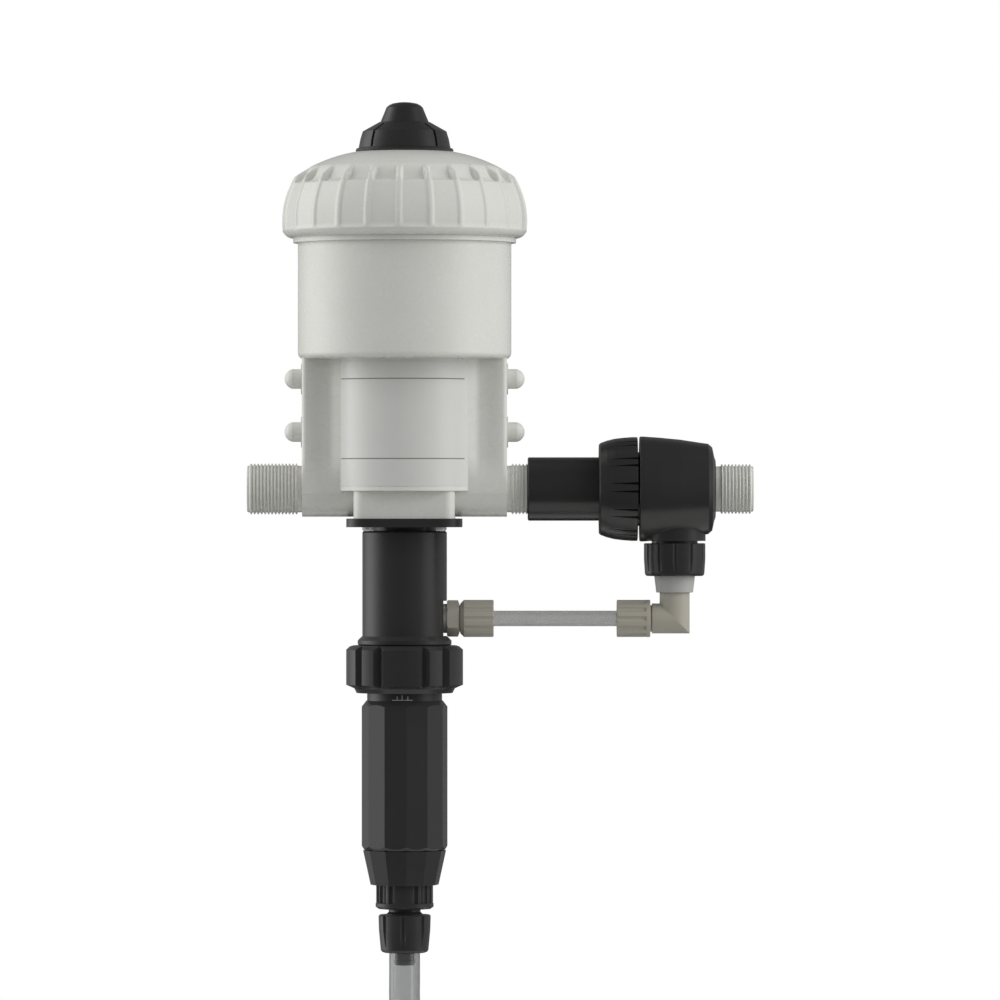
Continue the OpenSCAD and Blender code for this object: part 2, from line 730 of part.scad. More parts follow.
// Long twelve-sided grip that sets the dosage
sleeve_floor = 17.5;
sleeve_web = 6;
sleeve_turn = -87;
module adjusting_sleeve() {
    color(black_plastic) on_pump_axis() difference() {
        intersection() {
            translate([0, 0, sleeve_low]) rotate([0, 0, sleeve_turn])
                cylinder(r = sleeve_r, h = sleeve_h, $fn = sleeve_sides);
            rotate_extrude() polygon([
                [0, sleeve_low], [sleeve_r - 1.3, sleeve_low], [sleeve_r + 0.1, sleeve_low + 2.2],
                [sleeve_r + 0.1, sleeve_top - 3.2], [stem_r + 0.4, sleeve_top], [0, sleeve_top]
            ]);
        }
        translate([0, 0, sleeve_low + sleeve_floor]) cylinder(r = stem_r + run_gap, h = sleeve_h);
        translate([0, 0, sleeve_low - 1]) cylinder(r = stem_r - 2, h = sleeve_floor - sleeve_web + 1);
        translate([0, 0, sleeve_low - 1]) cylinder(r = cylinder_neck_r + run_gap, h = sleeve_h);
    }
}

// Cylinder that the plunger works in, carried by the sleeve
cylinder_neck_r = 12;
barrel_r = 10;
cylinder_top = stem_low + 46;
shoulder_low = sleeve_low + sleeve_floor + run_gap;
shoulder_h = 4.6;
valve_spigot = foot_top - 7;
head_h = 8;
bore_low = shoulder_low - 3;

module dosing_cylinder() {
    head_r = stem_bore_r - run_gap;
    color(beige_plastic) on_pump_axis() difference() {
        rotate_extrude() polygon([
            [0, valve_spigot], [barrel_r, valve_spigot], [barrel_r, foot_top + seat_gap],
            [cylinder_neck_r, foot_top + seat_gap], [cylinder_neck_r, shoulder_low],
            [15.5, shoulder_low], [15.5, shoulder_low + shoulder_h],
            [barrel_r, shoulder_low + shoulder_h + 2],
            [barrel_r, cylinder_top - head_h - 2], [head_r, cylinder_top - head_h],
            [head_r, cylinder_top - 5.2], [head_r - 1.8, cylinder_top - 5.2],
            [head_r - 1.8, cylinder_top - 2.8], [head_r, cylinder_top - 2.8],
            [head_r, cylinder_top - 0.5], [head_r - 0.5, cylinder_top], [0, cylinder_top]
        ]);
        translate([0, 0, bore_low]) cylinder(r = dosing_r, h = cylinder_top - bore_low + 1);
        translate([0, 0, valve_spigot - 1]) cylinder(r = 3.5, h = bore_low - valve_spigot + 2);
    }
}

module cylinder_o_ring() {
    color(rubber) on_pump_axis(cylinder_top - 4) o_ring(stem_bore_r - run_gap - 0.85, 0.9);
}

// Tapered twelve-sided housing of the suction valve
module valve_housing() {
    color(black_plastic) on_pump_axis() difference() {
        translate([0, 0, foot_low]) rotate([0, 0, sleeve_turn])
            cylinder(r1 = foot_low_r, r2 = foot_r, h = foot_h, $fn = sleeve_sides);
        translate([0, 0, valve_spigot - seat_gap]) cylinder(r = barrel_r + seat_gap, h = foot_h);
        translate([0, 0, foot_low - 1])
            cylinder(r = valve_spigot_r + seat_gap, h = valve_spigot_h + 1 + seat_gap);
        translate([0, 0, foot_low]) cylinder(r = 8, h = foot_h - 1);
    }
}

// Fluted nut that holds the seat of the suction valve
valve_spigot_r = 12;
valve_spigot_h = 7;
seat_z = foot_low - 1;
barb_socket = 6.5;
flute_angles = [-43.6, -26.5, 22, 38];
flute_r = 1.9;

module valve_nut() {
    color(black_plastic) on_pump_axis() difference() {
        rotate_extrude() polygon([
            [4, valve_nut_low + barb_socket], [4, seat_z], [8, seat_z], [8, foot_low + valve_spigot_h],
            [valve_spigot_r, foot_low + valve_spigot_h], [valve_spigot_r, foot_low - seat_gap],
            [valve_nut_r, foot_low - seat_gap], [valve_nut_r, valve_nut_low + 3.4],
            [valve_nut_r + 0.3, valve_nut_low + 3], [valve_nut_r + 0.3, valve_nut_low + 1.4],
            [valve_nut_r - 1.2, valve_nut_low + 0.3], [barb_neck_r + 1.4, valve_nut_low],
            [barb_neck_r + seat_gap, valve_nut_low], [barb_neck_r + seat_gap, valve_nut_low + barb_socket]
        ]);
        for (i = [0 : 3], a = flute_angles) rotate([0, 0, 90 * i + a - 90])
            translate([valve_nut_r + 0.7, 0, valve_nut_low + 3.4])
                cylinder(r = flute_r, h = valve_nut_h, $fn = 32);
    }
}

module suction_poppet() {
    color(beige_plastic) on_pump_axis(seat_z + seat_gap) rotate_extrude() polygon([
        [0, 0], [6.4, 0], [6.4, 1.6], [3.4, 2.4], [2.2, 2.6], [2.2, 5.2], [0, 5.2]
    ]);
}

module suction_spring() {
    low = seat_z + seat_gap + 2.6;
    color(steel) on_pump_axis(low) coil_spring(4, 0.4, valve_spigot - low - seat_gap, 4);
}

// Barb and thread that the hose nut clamps the hose on
barb_neck_r = 8.3;
barb_flange_r = 9.5;
barb_r = hose_bore_r - 0.25;
hose_end = hose_nut_top - 8.5;
barb_tip = hose_nut_low - 6.5;

module hose_barb() {
    color(black_plastic) on_pump_axis() rotate_extrude() polygon([
        [3.4, barb_tip], [barb_r - 1, barb_tip], [barb_r, barb_tip + 2.4], [barb_r - 0.6, barb_tip + 2.6],
        [barb_r - 0.6, hose_end + seat_gap], [barb_flange_r, hose_end + seat_gap],
        [barb_flange_r, hose_nut_top],
        [barb_neck_r, hose_nut_top + 1.2], [barb_neck_r, valve_nut_low + barb_socket - seat_gap],
        [3.4, valve_nut_low + barb_socket - seat_gap]
    ]);
}

module hose_nut() {
    color(black_plastic) on_pump_axis() difference() {
        rotate_extrude() polygon([
            [hose_r + run_gap, hose_nut_low], [hose_nut_r - 3, hose_nut_low],
            [hose_nut_r - 1.8, hose_nut_low + 0.5], [hose_nut_r - 1.2, hose_nut_low + 1.4],
            [hose_nut_r - 0.2, hose_nut_low + 12],
            [hose_nut_r, hose_nut_top - 1], [hose_nut_r - 0.6, hose_nut_top - 0.3],
            [barb_flange_r + run_gap, hose_nut_top - 0.3], [barb_flange_r + run_gap, hose_end - run_gap],
            [hose_r + run_gap, hose_end - run_gap - 1.5]
        ]);
        for (i = [0 : 7]) rotate([0, 0, 45 * i - 93])
            translate([hose_nut_r + 0.6, 0, hose_nut_low + 3.4])
                cylinder(r = flute_r, h = hose_nut_h, $fn = 32);
    }
}

// Suction hose: straight out of its nut, a loose bend, two hanging turns and a straight tail
coil_ring_r = 95;
coil_pitch = 2 * hose_r + 0.5;
coil_turns = 2;
coil_x = 5;
coil_drop = 170;
tail_len = 94;
coil_z = hose_nut_low - coil_drop;
hose_lead = [
    [0, 0, 0], [0, 0, -12], [0, 0, -25], [1.1, -0.6, -38], [4.5, -1.7, -50.7], [10, -3, -62.5],
    [17.5, -4.2, -73.2], [26.8, -5, -82.5], [37.5, -5.4, -90.3], [50, -5.4, -97.5], [62.5, -5, -104.8],
    [73.2, -4.2, -112.5], [82.5, -3.2, -121.8], [90, -2, -132.5], [95.5, -1, -144.3], [98.9, -0.3, -157],
    [100, 0, -170]
];

module suction_hose() {
    start = [0, 0, hose_end - hose_nut_low];
    color(clear_hose) on_pump_axis(hose_nut_low) swept_bar(concat([start], hose_lead), hose_r, 12, [0, 1, 0]);
}

module hose_coil() {
    color(clear_hose) translate([thread_mid + coil_x, 0, coil_z]) rotate([-90, 0, 0])
        rotate_extrude() polygon(concat(
            arc(coil_ring_r, 0, hose_r, 180, 360, 10),
            arc(coil_ring_r, coil_turns * coil_pitch, hose_r, 0, 180, 10)
        ));
}

// Places a shape on the axis of the hose's straight tail
module on_tail(z) {
    translate([thread_mid + coil_x + coil_ring_r, coil_turns * coil_pitch, z]) children();
}

module hose_tail() {
    color(clear_hose) on_tail(coil_z - tail_len) cylinder(r = hose_r, h = tail_len);
}

module hose_tie() {
    tall = 2 * hose_r + 2 * run_gap;
    wide = tall + coil_turns * coil_pitch;
    color(black_plastic) translate([thread_mid + coil_x - coil_ring_r, coil_turns * coil_pitch / 2, coil_z])
        difference() {
            union() {
                cube([tall + 2.4, wide + 2.4, 5], center = true);
                translate([-tall / 2 - 2, 0, 0]) cube([3, 7, 8], center = true);
            }
            cube([tall, wide, 6], center = true);
        }
}

strainer_r = 11;
strainer_len = 50;
module strainer() {
    shaft_r = barb_r - 0.6;
    color(black_plastic) on_tail(coil_z - tail_len) difference() {
        rotate_extrude() polygon(concat(
            [[0, -strainer_len]],
            arc(strainer_r - 4, 4 - strainer_len, 4, -90, 0),
            [[strainer_r, -4], [strainer_r - 3, -seat_gap], [shaft_r, -seat_gap], [shaft_r, 16]],
            [[shaft_r - 1, 18], [3.4, 18], [3.4, -6], [8.6, -10]],
            [[8.6, 4 - strainer_len], [0, 4 - strainer_len]]
        ));
        for (i = [0 : 5]) rotate([0, 0, 30 * i]) translate([0, 0, -strainer_len / 2 - 1])
            cube([2 * strainer_r + 2, 2, strainer_len - 24], center = true);
    }
}

// Motor piston with its two diameters
piston_low = lower_floor + piston_rest;
piston_top = upper_floor + 14;
tube_out_r = 24;
tube_in_r = 21;
upper_valve_at = 36;
lower_valve_at = 14;
yoke_x = 27;
yoke_z = piston_top + 7;
pin_r = 1.5;
piston_floor = 4;
upper_port_r = 5;
lower_port_r = 4;

// Places a shape on the yoke's cross axis
module at_yoke() {
    translate([yoke_x, 0, yoke_z]) rotate([90, 0, 0]) children();
}

module motor_piston() {
    wide_r = upper_bore_r - 2 * run_gap;
    narrow_r = lower_bore_r - 2 * run_gap;
    color(white_plastic) on_pump_axis() difference() {
        union() {
            rotate_extrude() polygon([
                [0, piston_low], [narrow_r, piston_low],
                [narrow_r, piston_low + 4.5], [narrow_r - 3, piston_low + 4.5],
                [narrow_r - 3, piston_low + 8.5], [narrow_r, piston_low + 8.5], [narrow_r, piston_low + 12],
                [tube_out_r, piston_low + 12], [tube_out_r, piston_top - 9], [wide_r, piston_top - 9],
                [wide_r, piston_top - 7], [wide_r - 4, piston_top - 7], [wide_r - 4, piston_top - 3],
                [wide_r, piston_top - 3], [wide_r, piston_top], [tube_in_r, piston_top],
                [tube_in_r, piston_low + piston_floor], [0, piston_low + piston_floor]
            ]);
            for (y = [-1, 1]) translate([yoke_x - 4, y * 12 - 1.5, piston_top - 1]) cube([8, 3, 11.5]);
        }
        for (a = [45 : 90 : 315]) rotate([0, 0, a]) {
            translate([upper_valve_at, 0, piston_top - 12]) cylinder(r = upper_port_r, h = 14);
            translate([lower_valve_at, 0, piston_low - 1]) cylinder(r = lower_port_r, h = piston_floor + 2);
        }
        translate([0, 0, piston_low - 1]) cylinder(r = rod_r + seat_gap, h = piston_floor + 2);
        at_yoke() cylinder(r = pin_r + seat_gap, h = 30, center = true);
    }
}

module piston_seal() {
    color(rubber) on_pump_axis() rotate_extrude() polygon([
        [upper_bore_r - 4.6 + seat_gap, piston_top - 6.9], [upper_bore_r - run_gap - 0.6, piston_top - 6.9],
        [upper_bore_r - run_gap, piston_top - 5.8], [upper_bore_r - run_gap - 1.2, piston_top - 5],
        [upper_bore_r - run_gap, piston_top - 4.2], [upper_bore_r - run_gap - 0.6, piston_top - 3.1],
        [upper_bore_r - 4.6 + seat_gap, piston_top - 3.1]
    ]);
}

module piston_lower_seal() {
    color(rubber) on_pump_axis() rotate_extrude() polygon([
        [lower_bore_r - 3.6 + seat_gap, piston_low + 4.6], [lower_bore_r - run_gap - 0.6, piston_low + 4.6],
        [lower_bore_r - run_gap, piston_low + 5.7], [lower_bore_r - run_gap - 1, piston_low + 6.5],
        [lower_bore_r - run_gap, piston_low + 7.3], [lower_bore_r - run_gap - 0.6, piston_low + 8.4],
        [lower_bore_r - 3.6 + seat_gap, piston_low + 8.4]
    ]);
}

// Rod and plunger that work in the dosing cylinder
plunger_low = bore_low + 4;
plunger_h = 12;
rod_seat = 4;

module plunger_rod() {
    low = plunger_low + plunger_h - rod_seat;
    color(steel) on_pump_axis(low) cylinder(r = rod_r, h = piston_low + piston_floor - low);
}

module plunger_head() {
    head_r = dosing_r - run_gap;
    color(white_plastic) on_pump_axis(plunger_low) rotate_extrude() polygon([
        [0, 0], [head_r - 0.5, 0], [head_r, 0.5], [head_r, 3.6], [head_r - 1.6, 3.6],
        [head_r - 1.6, 5.6], [head_r, 5.6], [head_r, 8], [rod_r + 1.2, 9.5], [rod_r + 1.2, plunger_h],
        [rod_r + seat_gap, plunger_h], [rod_r + seat_gap, plunger_h - rod_seat - seat_gap],
        [0, plunger_h - rod_seat - seat_gap]
    ]);
}

module plunger_seal() {
    color(rubber) on_pump_axis(plunger_low + 4.6) o_ring(dosing_r - run_gap - 0.7, 0.85);
}

// Sliding gear that carries the eight valves of the piston
gear_low = piston_low + 10;
gear_arm = piston_top + 12;
yoke_swing = asin(valve_travel / 2 / yoke_x);

module valve_carriage() {
    color(grey_plastic) on_pump_axis() {
        translate([0, 0, gear_low]) cylinder(r = 4, h = gear_arm + 6 - gear_low);
        for (a = [45 : 90 : 315]) rotate([0, 0, a]) {
            translate([0, -1.5, gear_low]) cube([lower_valve_at + 1.5, 3, 3]);
            translate([lower_valve_at, 0, lower_valve_z + 2])
                cylinder(r = pin_r, h = gear_low - lower_valve_z);
            translate([0, -1.5, gear_arm]) cube([upper_valve_at + 1.5, 3, 3]);
            translate([upper_valve_at, 0, upper_valve_z + 2])
                cylinder(r = pin_r, h = gear_arm - upper_valve_z - 1);
        }
        translate([0, 0, yoke_z - valve_travel / 2]) rotate([90, 0, 0])
            cylinder(r = pin_r, h = 18, center = true);
    }
}
lower_valve_z = piston_low - valve_travel - run_gap - 2;
upper_valve_z = piston_top + seat_gap;

module upper_valves() {
    color(rubber) on_pump_axis() for (a = [45 : 90 : 315]) rotate([0, 0, a])
        translate([upper_valve_at, 0, upper_valve_z]) cylinder(r = 6.5, h = 2);
}

module lower_valves() {
    color(rubber) on_pump_axis() for (a = [45 : 90 : 315]) rotate([0, 0, a])
        translate([lower_valve_at, 0, lower_valve_z]) cylinder(r = 5.5, h = 2);
}

// Two-armed yoke that snaps the valve gear over
module toggle_yoke() {
    color(steel) translate([thread_mid + yoke_x, 0, yoke_z]) rotate([0, -yoke_swing, 0]) difference() {
        union() {
            for (y = [-1, 1]) translate([0, y * 7.5, 0]) rotate([90, 0, 0]) translate([0, 0, -1]) {
                cylinder(r = 3.4, h = 2);
                translate([-yoke_x - 3.4, -2.6, 0]) cube([yoke_x + 3.4, 5.2, 2]);
            }
            translate([3.2, -8.5, -1.5]) cube([2, 17, 3]);
        }
        rotate([90, 0, 0]) cylinder(r = pin_r + 0.1, h = 20, center = true);
        translate([-yoke_x - 2.4, -10, -1.8]) cube([4.8, 20, 3.6]);
    }
}

module yoke_pin() {
    color(steel) on_pump_axis() at_yoke() cylinder(r = pin_r, h = 28, center = true);
}

module toggle_spring() {
    spring_h = 11;
    color(steel) on_pump_axis() at_yoke() translate([0, 0, -spring_h / 2])
        coil_spring(2.3, 0.4, spring_h, 6, 10);
}

// Union between the pump's outlet and the tee
tail_flange_h = 4.2;
nut_wall = 4;
tail_flange_at = nut_at + nut_wall + run_gap;
tee_neck_at = tail_flange_at + tail_flange_h + seat_gap;

module union_tail() {
    tail_end = tee_neck_at - seat_gap;
    color(black_plastic) along_x(0) rotate_extrude() polygon([
        [thread_r + seat_gap, tail_at], [tail_r - 0.6, tail_at],
        [tail_r, tail_at + 0.6], [tail_r, tail_flange_at],
        [tee_neck_r - 0.6, tail_flange_at], [tee_neck_r - 0.6, tail_end - 1.9],
        [15, tail_end - 1.9], [15, tail_end], [waterway_r, tail_end],
        [waterway_r, port_reach + seat_gap], [thread_r + seat_gap, port_reach + seat_gap]
    ]);
}

module union_o_ring() {
    color(rubber) along_x(tee_neck_at - 0.95 - seat_gap) o_ring(16.1, 0.95);
}

module union_nut() {
    low_r = nut_r - 3.1;
    color(black_plastic) along_x(0) difference() {
        rotate_extrude() polygon(concat(
            [[tail_r + run_gap, nut_at], [low_r - 0.8, nut_at], [low_r, nut_at + 0.8]],
            [[nut_r - 1.9, nut_at + 4], [nut_r - 0.9, nut_at + 8], [nut_r - 0.35, nut_at + 12.5]],
            [[nut_r, nut_end - 3], [nut_r, nut_end - 0.4], [nut_r - 0.4, nut_end]],
            [[tee_neck_r + run_gap, nut_end], [tee_neck_r + run_gap, nut_at + nut_wall]],
            [[tail_r + run_gap, nut_at + nut_wall]]
        ));
        // Pairs of wedge-shaped finger grooves
        for (i = [0 : 11], side = [-1, 1]) rotate([0, 0, 30 * i - 1.6])
            translate([nut_r + 0.1, side * 2.1, nut_at + 5]) rotate([0, -90, 0])
                linear_extrude(3.4) polygon([[0, 0], [nut_len, -0.9], [nut_len, 0.9]]);
    }
}

// Tee that the dose is injected into
module tee_body() {
    tee_end = tee_at + tee_len;
    color(black_plastic) difference() {
        union() {
            along_x(0) rotate_extrude() polygon([
                [0, tee_neck_at], [tee_neck_r, tee_neck_at], [tee_neck_r, tee_at], [tee_r - 0.4, tee_at],
                [tee_r, tee_at + 0.4], [tee_r, tee_at + 2.2], [tee_r - 0.6, tee_at + 10.7],
                [tee_r - 1.6, tee_at + 21], [tee_r - 3.2, tee_end - 8], [tee_r - 3.8, tee_end - 3.8],
                [tee_r - 5.6, tee_end - 1.7], [tee_r - 10.7, tee_end - 0.6],
                [tee_r - 12.3, tee_end], [0, tee_end]
            ]);
            on_branch(-branch_drop) cylinder(r = branch_boss_r, h = branch_drop);
            on_branch(-branch_neck_drop) cylinder(r = branch_neck_r, h = branch_neck_drop);
        }
        along_x(tee_neck_at - 1) cylinder(r = waterway_r, h = tee_len + 30);
        along_x(tee_end - nipple_seat) cylinder(r = nipple_root_r + seat_gap, h = nipple_seat + 1);
        on_branch(-branch_neck_drop - 1) cylinder(r = check_bore_r, h = branch_neck_drop + 1 - spring_stop);
        on_branch(-branch_neck_drop - 1) cylinder(r = 4.6, h = branch_neck_drop);
    }
}
nipple_seat = 12;
nipple_mid = 10.6;
branch_neck_r = 12;
branch_neck_drop = branch_drop + 11;
check_bore_r = 8.4;
spring_stop = 20;

module outlet_nipple() {
    tee_end = tee_at + tee_len;
    joint = nipple_seat - seat_gap;
    color(grey_plastic) along_x(tee_end - joint)
        threaded_pipe(nipple_len + joint, joint + nipple_mid, nipple_crests, nipple_r, crest_flat);
}

// Branch nut, reducer and injection check valve under the tee
branch_nut_top = -branch_drop - 1.2;
branch_nut_low = branch_nut_top - branch_nut_h;
reducer_top = -branch_neck_drop - seat_gap;
reducer_low = branch_nut_low - reducer_show;
reducer_flange_h = 3.2;
elbow_spigot_r = 6;
line_z = side_port_z;
dose_r = 3.2;

module branch_nut() {
    flange_seat = reducer_top - reducer_flange_h - run_gap;
    color(black_plastic) on_branch() difference() {
        rotate_extrude() polygon([
            [reducer_r + run_gap, branch_nut_low], [branch_nut_r - 1.6, branch_nut_low],
            [branch_nut_r - 0.8, branch_nut_low + 0.5], [branch_nut_r - 0.5, branch_nut_low + 1.4],
            [branch_nut_r, branch_nut_low + 9], [branch_nut_r, branch_nut_top - 0.4],
            [branch_nut_r - 0.4, branch_nut_top], [branch_neck_r + run_gap, branch_nut_top],
            [branch_neck_r + run_gap, flange_seat], [reducer_r + run_gap, flange_seat]
        ]);
        for (i = [0 : 11]) rotate([0, 0, 30 * i])
            translate([branch_nut_r + 0.9, 0, branch_nut_low + 2.4])
                cylinder(r = 1.6, h = branch_nut_h, $fn = 32);
    }
}

module branch_o_ring() {
    color(rubber) on_branch(reducer_top - 0.95) o_ring(10.2, 0.9);
}

module reducer() {
    color(grey_plastic) on_branch() rotate_extrude() polygon([
        [dose_r, reducer_low + 9], [dose_r, reducer_top], [9.2, reducer_top], [9.2, reducer_top - 1.9],
        [branch_neck_r, reducer_top - 1.9], [branch_neck_r, reducer_top - reducer_flange_h],
        [reducer_r, reducer_top - reducer_flange_h], [reducer_r, branch_nut_low],
        [reducer_r - 1, reducer_low + 0.3], [reducer_r - 1.3, reducer_low],
        [elbow_spigot_r + seat_gap, reducer_low], [elbow_spigot_r + seat_gap, reducer_low + 9]
    ]);
}

module check_poppet() {
    color(beige_plastic) on_branch(reducer_top + seat_gap) rotate_extrude() polygon([
        [0, 0], [7, 0], [7, 1.8], [4.4, 2.6], [2.4, 2.8], [2.4, 9], [0, 9]
    ]);
}

module check_spring() {
    low = reducer_top + seat_gap + 2.8;
    color(steel) on_branch(low) coil_spring(5.6, 0.5, -spring_stop - seat_gap - low, 5);
}

// Moulded elbow with a mitred outer corner
elbow_start = branch_at - 11.8;
stub_r = 6.9;
stub_len = 13.4;
tube_seat = 10;

// Half of the space beside the elbow's mitre, above it or below it
module mitre_half(above) {
    on_branch(line_z) rotate([0, 45, 0])
        translate([0, 0, above ? 30 : -30]) cube([120, 40, 60], center = true);
}

module elbow() {
    color(beige_plastic) difference() {
        union() {
            intersection() {
                on_branch(line_z - 20) cylinder(r = elbow_r, h = reducer_low - seat_gap - line_z + 20);
                mitre_half(true);
            }
            intersection() {
                along_x(elbow_start, line_z) cylinder(r = elbow_r, h = 40);
                mitre_half(false);
            }
            on_branch(reducer_low - 1) cylinder(r = elbow_spigot_r, h = 9);
            along_x(elbow_start - stub_len, line_z) cylinder(r = stub_r, h = stub_len + 1);
        }
        on_branch(line_z) cylinder(r = dose_r, h = 40);
        along_x(elbow_start - stub_len - 1, line_z)
            cylinder(r = dose_r, h = branch_at - elbow_start + stub_len + 1);
        along_x(elbow_start - stub_len - 1, line_z) cylinder(r = tube_r + seat_gap, h = tube_seat + 1);
    }
}

// Fluted compression nut along +X, closed at its tube end, with a chamfer round its open end
nut_floor = 2.4;
module compression_nut(chamfer) {
    bore_r = stub_r + run_gap;
    difference() {
        rotate_extrude() polygon([
            [tube_r + 0.15, 0], [comp_nut_r - 0.4, 0], [comp_nut_r, 0.4],
            [comp_nut_r, comp_nut_len - chamfer], [comp_nut_r - chamfer, comp_nut_len],
            [bore_r, comp_nut_len], [bore_r, nut_floor], [tube_r + 0.15, nut_floor]
        ]);
        for (i = [0 : 11]) rotate([0, 0, 30 * i]) translate([comp_nut_r + 0.75, 0, -1])
            cylinder(r = 1.5, h = comp_nut_len - 1.2, $fn = 32);
    }
}

right_nut_at = elbow_start - elbow_gap - comp_nut_len;
hex_at = flat_reach + 1.9;
hex_end = hex_at + hex_len;
left_nut_at = hex_end + hex_gap;
left_stub_len = 13.4;

module compression_nut_right() {
    color(beige_plastic) along_x(right_nut_at, line_z) compression_nut(0.4);
}

module compression_nut_left() {
    color(beige_plastic) along_x(left_nut_at + comp_nut_len, line_z) mirror([0, 0, 1]) compression_nut(2);
}

// Clamping ring between a nut and its stub
module ferrule(thickness) {
    difference() {
        cylinder(r = stub_r - 0.4, h = thickness);
        translate([0, 0, -1]) cylinder(r = tube_r + seat_gap, h = thickness + 2);
    }
}
ferrule_gap = 0.2;

module ferrule_right() {
    start = right_nut_at + nut_floor + ferrule_gap;
    color(steel) along_x(start, line_z) ferrule(elbow_start - stub_len - ferrule_gap - start);
}

module ferrule_left() {
    start = hex_end + left_stub_len + ferrule_gap;
    color(steel) along_x(start, line_z) ferrule(left_nut_at + comp_nut_len - nut_floor - ferrule_gap - start);
}

// Sealing washer between the housing's flat and the fitting
module port_washer() {
    color(grey_plastic) along_x(flat_reach + seat_gap, line_z) difference() {
        cylinder(r = 7.6, h = hex_at - flat_reach - 2 * seat_gap);
        translate([0, 0, -1]) cylinder(r = fitting_r + seat_gap, h = 5);
    }
}

// Hexagonal fitting screwed into the side port
module hex_fitting() {
    color(beige_plastic) along_x(0, line_z) difference() {
        union() {
            translate([0, 0, chamber_r + 0.5]) cylinder(r = fitting_r, h = hex_at - chamber_r);
            intersection() {
                translate([0, 0, hex_at]) cylinder(r = hex_r, h = hex_len, $fn = 6);
                rotate_extrude() polygon([
                    [0, hex_at], [hex_r - 0.6, hex_at], [hex_r + 0.1, hex_at + 0.8],
                    [hex_r + 0.1, hex_end - 0.8], [hex_r - 2, hex_end], [0, hex_end]
                ]);
            }
            translate([0, 0, hex_at + 1]) cylinder(r = stub_r, h = hex_len - 1 + left_stub_len);
        }
        translate([0, 0, chamber_r - 1]) cylinder(r = dose_r, h = 50);
        translate([0, 0, hex_end + left_stub_len - tube_seat])
            cylinder(r = tube_r + seat_gap, h = 2 * tube_seat);
    }
}

module bypass_tube() {
    start = hex_end + left_stub_len - tube_seat + seat_gap;
    finish = elbow_start - stub_len + tube_seat - seat_gap;
    color(clear_hose) along_x(start, line_z) difference() {
        cylinder(r = tube_r, h = finish - start);
        translate([0, 0, -1]) cylinder(r = tube_r - 1, h = finish - start + 2);
    }
}

body();
label_film();
bell();
bell_o_ring();
vent_cap();
vent_cap_o_ring();
vent_button();
vent_spring();
vent_seal();
retaining_plate();
plate_screws();
injection_housing();
housing_o_ring();
rod_bush();
graduated_stem();
lock_ring();
adjusting_sleeve();
dosing_cylinder();
cylinder_o_ring();
valve_housing();
suction_poppet();
suction_spring();
valve_nut();
hose_barb();
hose_nut();
suction_hose();
hose_coil();
hose_tail();
hose_tie();
strainer();
motor_piston();
piston_seal();
piston_lower_seal();
plunger_rod();
plunger_head();
plunger_seal();
valve_carriage();
upper_valves();
lower_valves();
toggle_yoke();
yoke_pin();
toggle_spring();
union_tail();
union_o_ring();
union_nut();
tee_body();
outlet_nipple();
branch_nut();
branch_o_ring();
reducer();
check_poppet();
check_spring();
elbow();
compression_nut_right();
ferrule_right();
port_washer();
hex_fitting();
compression_nut_left();
ferrule_left();
bypass_tube();
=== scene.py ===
"""Looks of a water-powered dosing pump with an outside injection line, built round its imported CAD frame.

Metres, in the frame of the CAD: the origin is the middle of the inlet thread, the water flows along +X,
and the photograph was taken from -Y. Heights below are measured from the port axis.
"""

import json
import math

import bmesh
import bpy
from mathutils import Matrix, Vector


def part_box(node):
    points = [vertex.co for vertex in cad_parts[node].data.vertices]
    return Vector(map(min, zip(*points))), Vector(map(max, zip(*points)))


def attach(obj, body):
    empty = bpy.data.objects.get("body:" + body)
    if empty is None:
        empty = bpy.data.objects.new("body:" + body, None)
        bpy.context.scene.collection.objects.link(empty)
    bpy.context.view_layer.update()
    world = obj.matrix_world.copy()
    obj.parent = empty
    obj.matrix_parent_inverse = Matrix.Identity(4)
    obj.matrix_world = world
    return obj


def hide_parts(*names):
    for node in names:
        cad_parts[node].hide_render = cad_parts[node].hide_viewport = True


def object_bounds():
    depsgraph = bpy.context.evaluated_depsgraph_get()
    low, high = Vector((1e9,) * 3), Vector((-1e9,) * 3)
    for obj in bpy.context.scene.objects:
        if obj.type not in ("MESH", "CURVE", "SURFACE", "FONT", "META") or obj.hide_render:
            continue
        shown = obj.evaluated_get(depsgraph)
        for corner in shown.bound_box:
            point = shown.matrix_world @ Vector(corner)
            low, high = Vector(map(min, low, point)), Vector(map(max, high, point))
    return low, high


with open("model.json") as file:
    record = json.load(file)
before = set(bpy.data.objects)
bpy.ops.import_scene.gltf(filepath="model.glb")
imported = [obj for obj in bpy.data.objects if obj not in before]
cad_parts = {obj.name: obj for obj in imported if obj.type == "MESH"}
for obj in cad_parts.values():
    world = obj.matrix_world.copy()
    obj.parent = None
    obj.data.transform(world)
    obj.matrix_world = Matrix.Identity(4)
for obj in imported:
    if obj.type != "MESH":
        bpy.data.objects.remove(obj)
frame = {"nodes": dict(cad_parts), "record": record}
cad_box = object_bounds()
nodes = frame["nodes"]

MM = 0.001
PUMP_X = 68 * MM


# Camera, floor and light

VIEW_WIDTH = 0.52
VIEW_CENTRE = Vector((0.1176, 0, -0.00572))
CAMERA_DISTANCE = 4.0
SENSOR_MM = 36.0


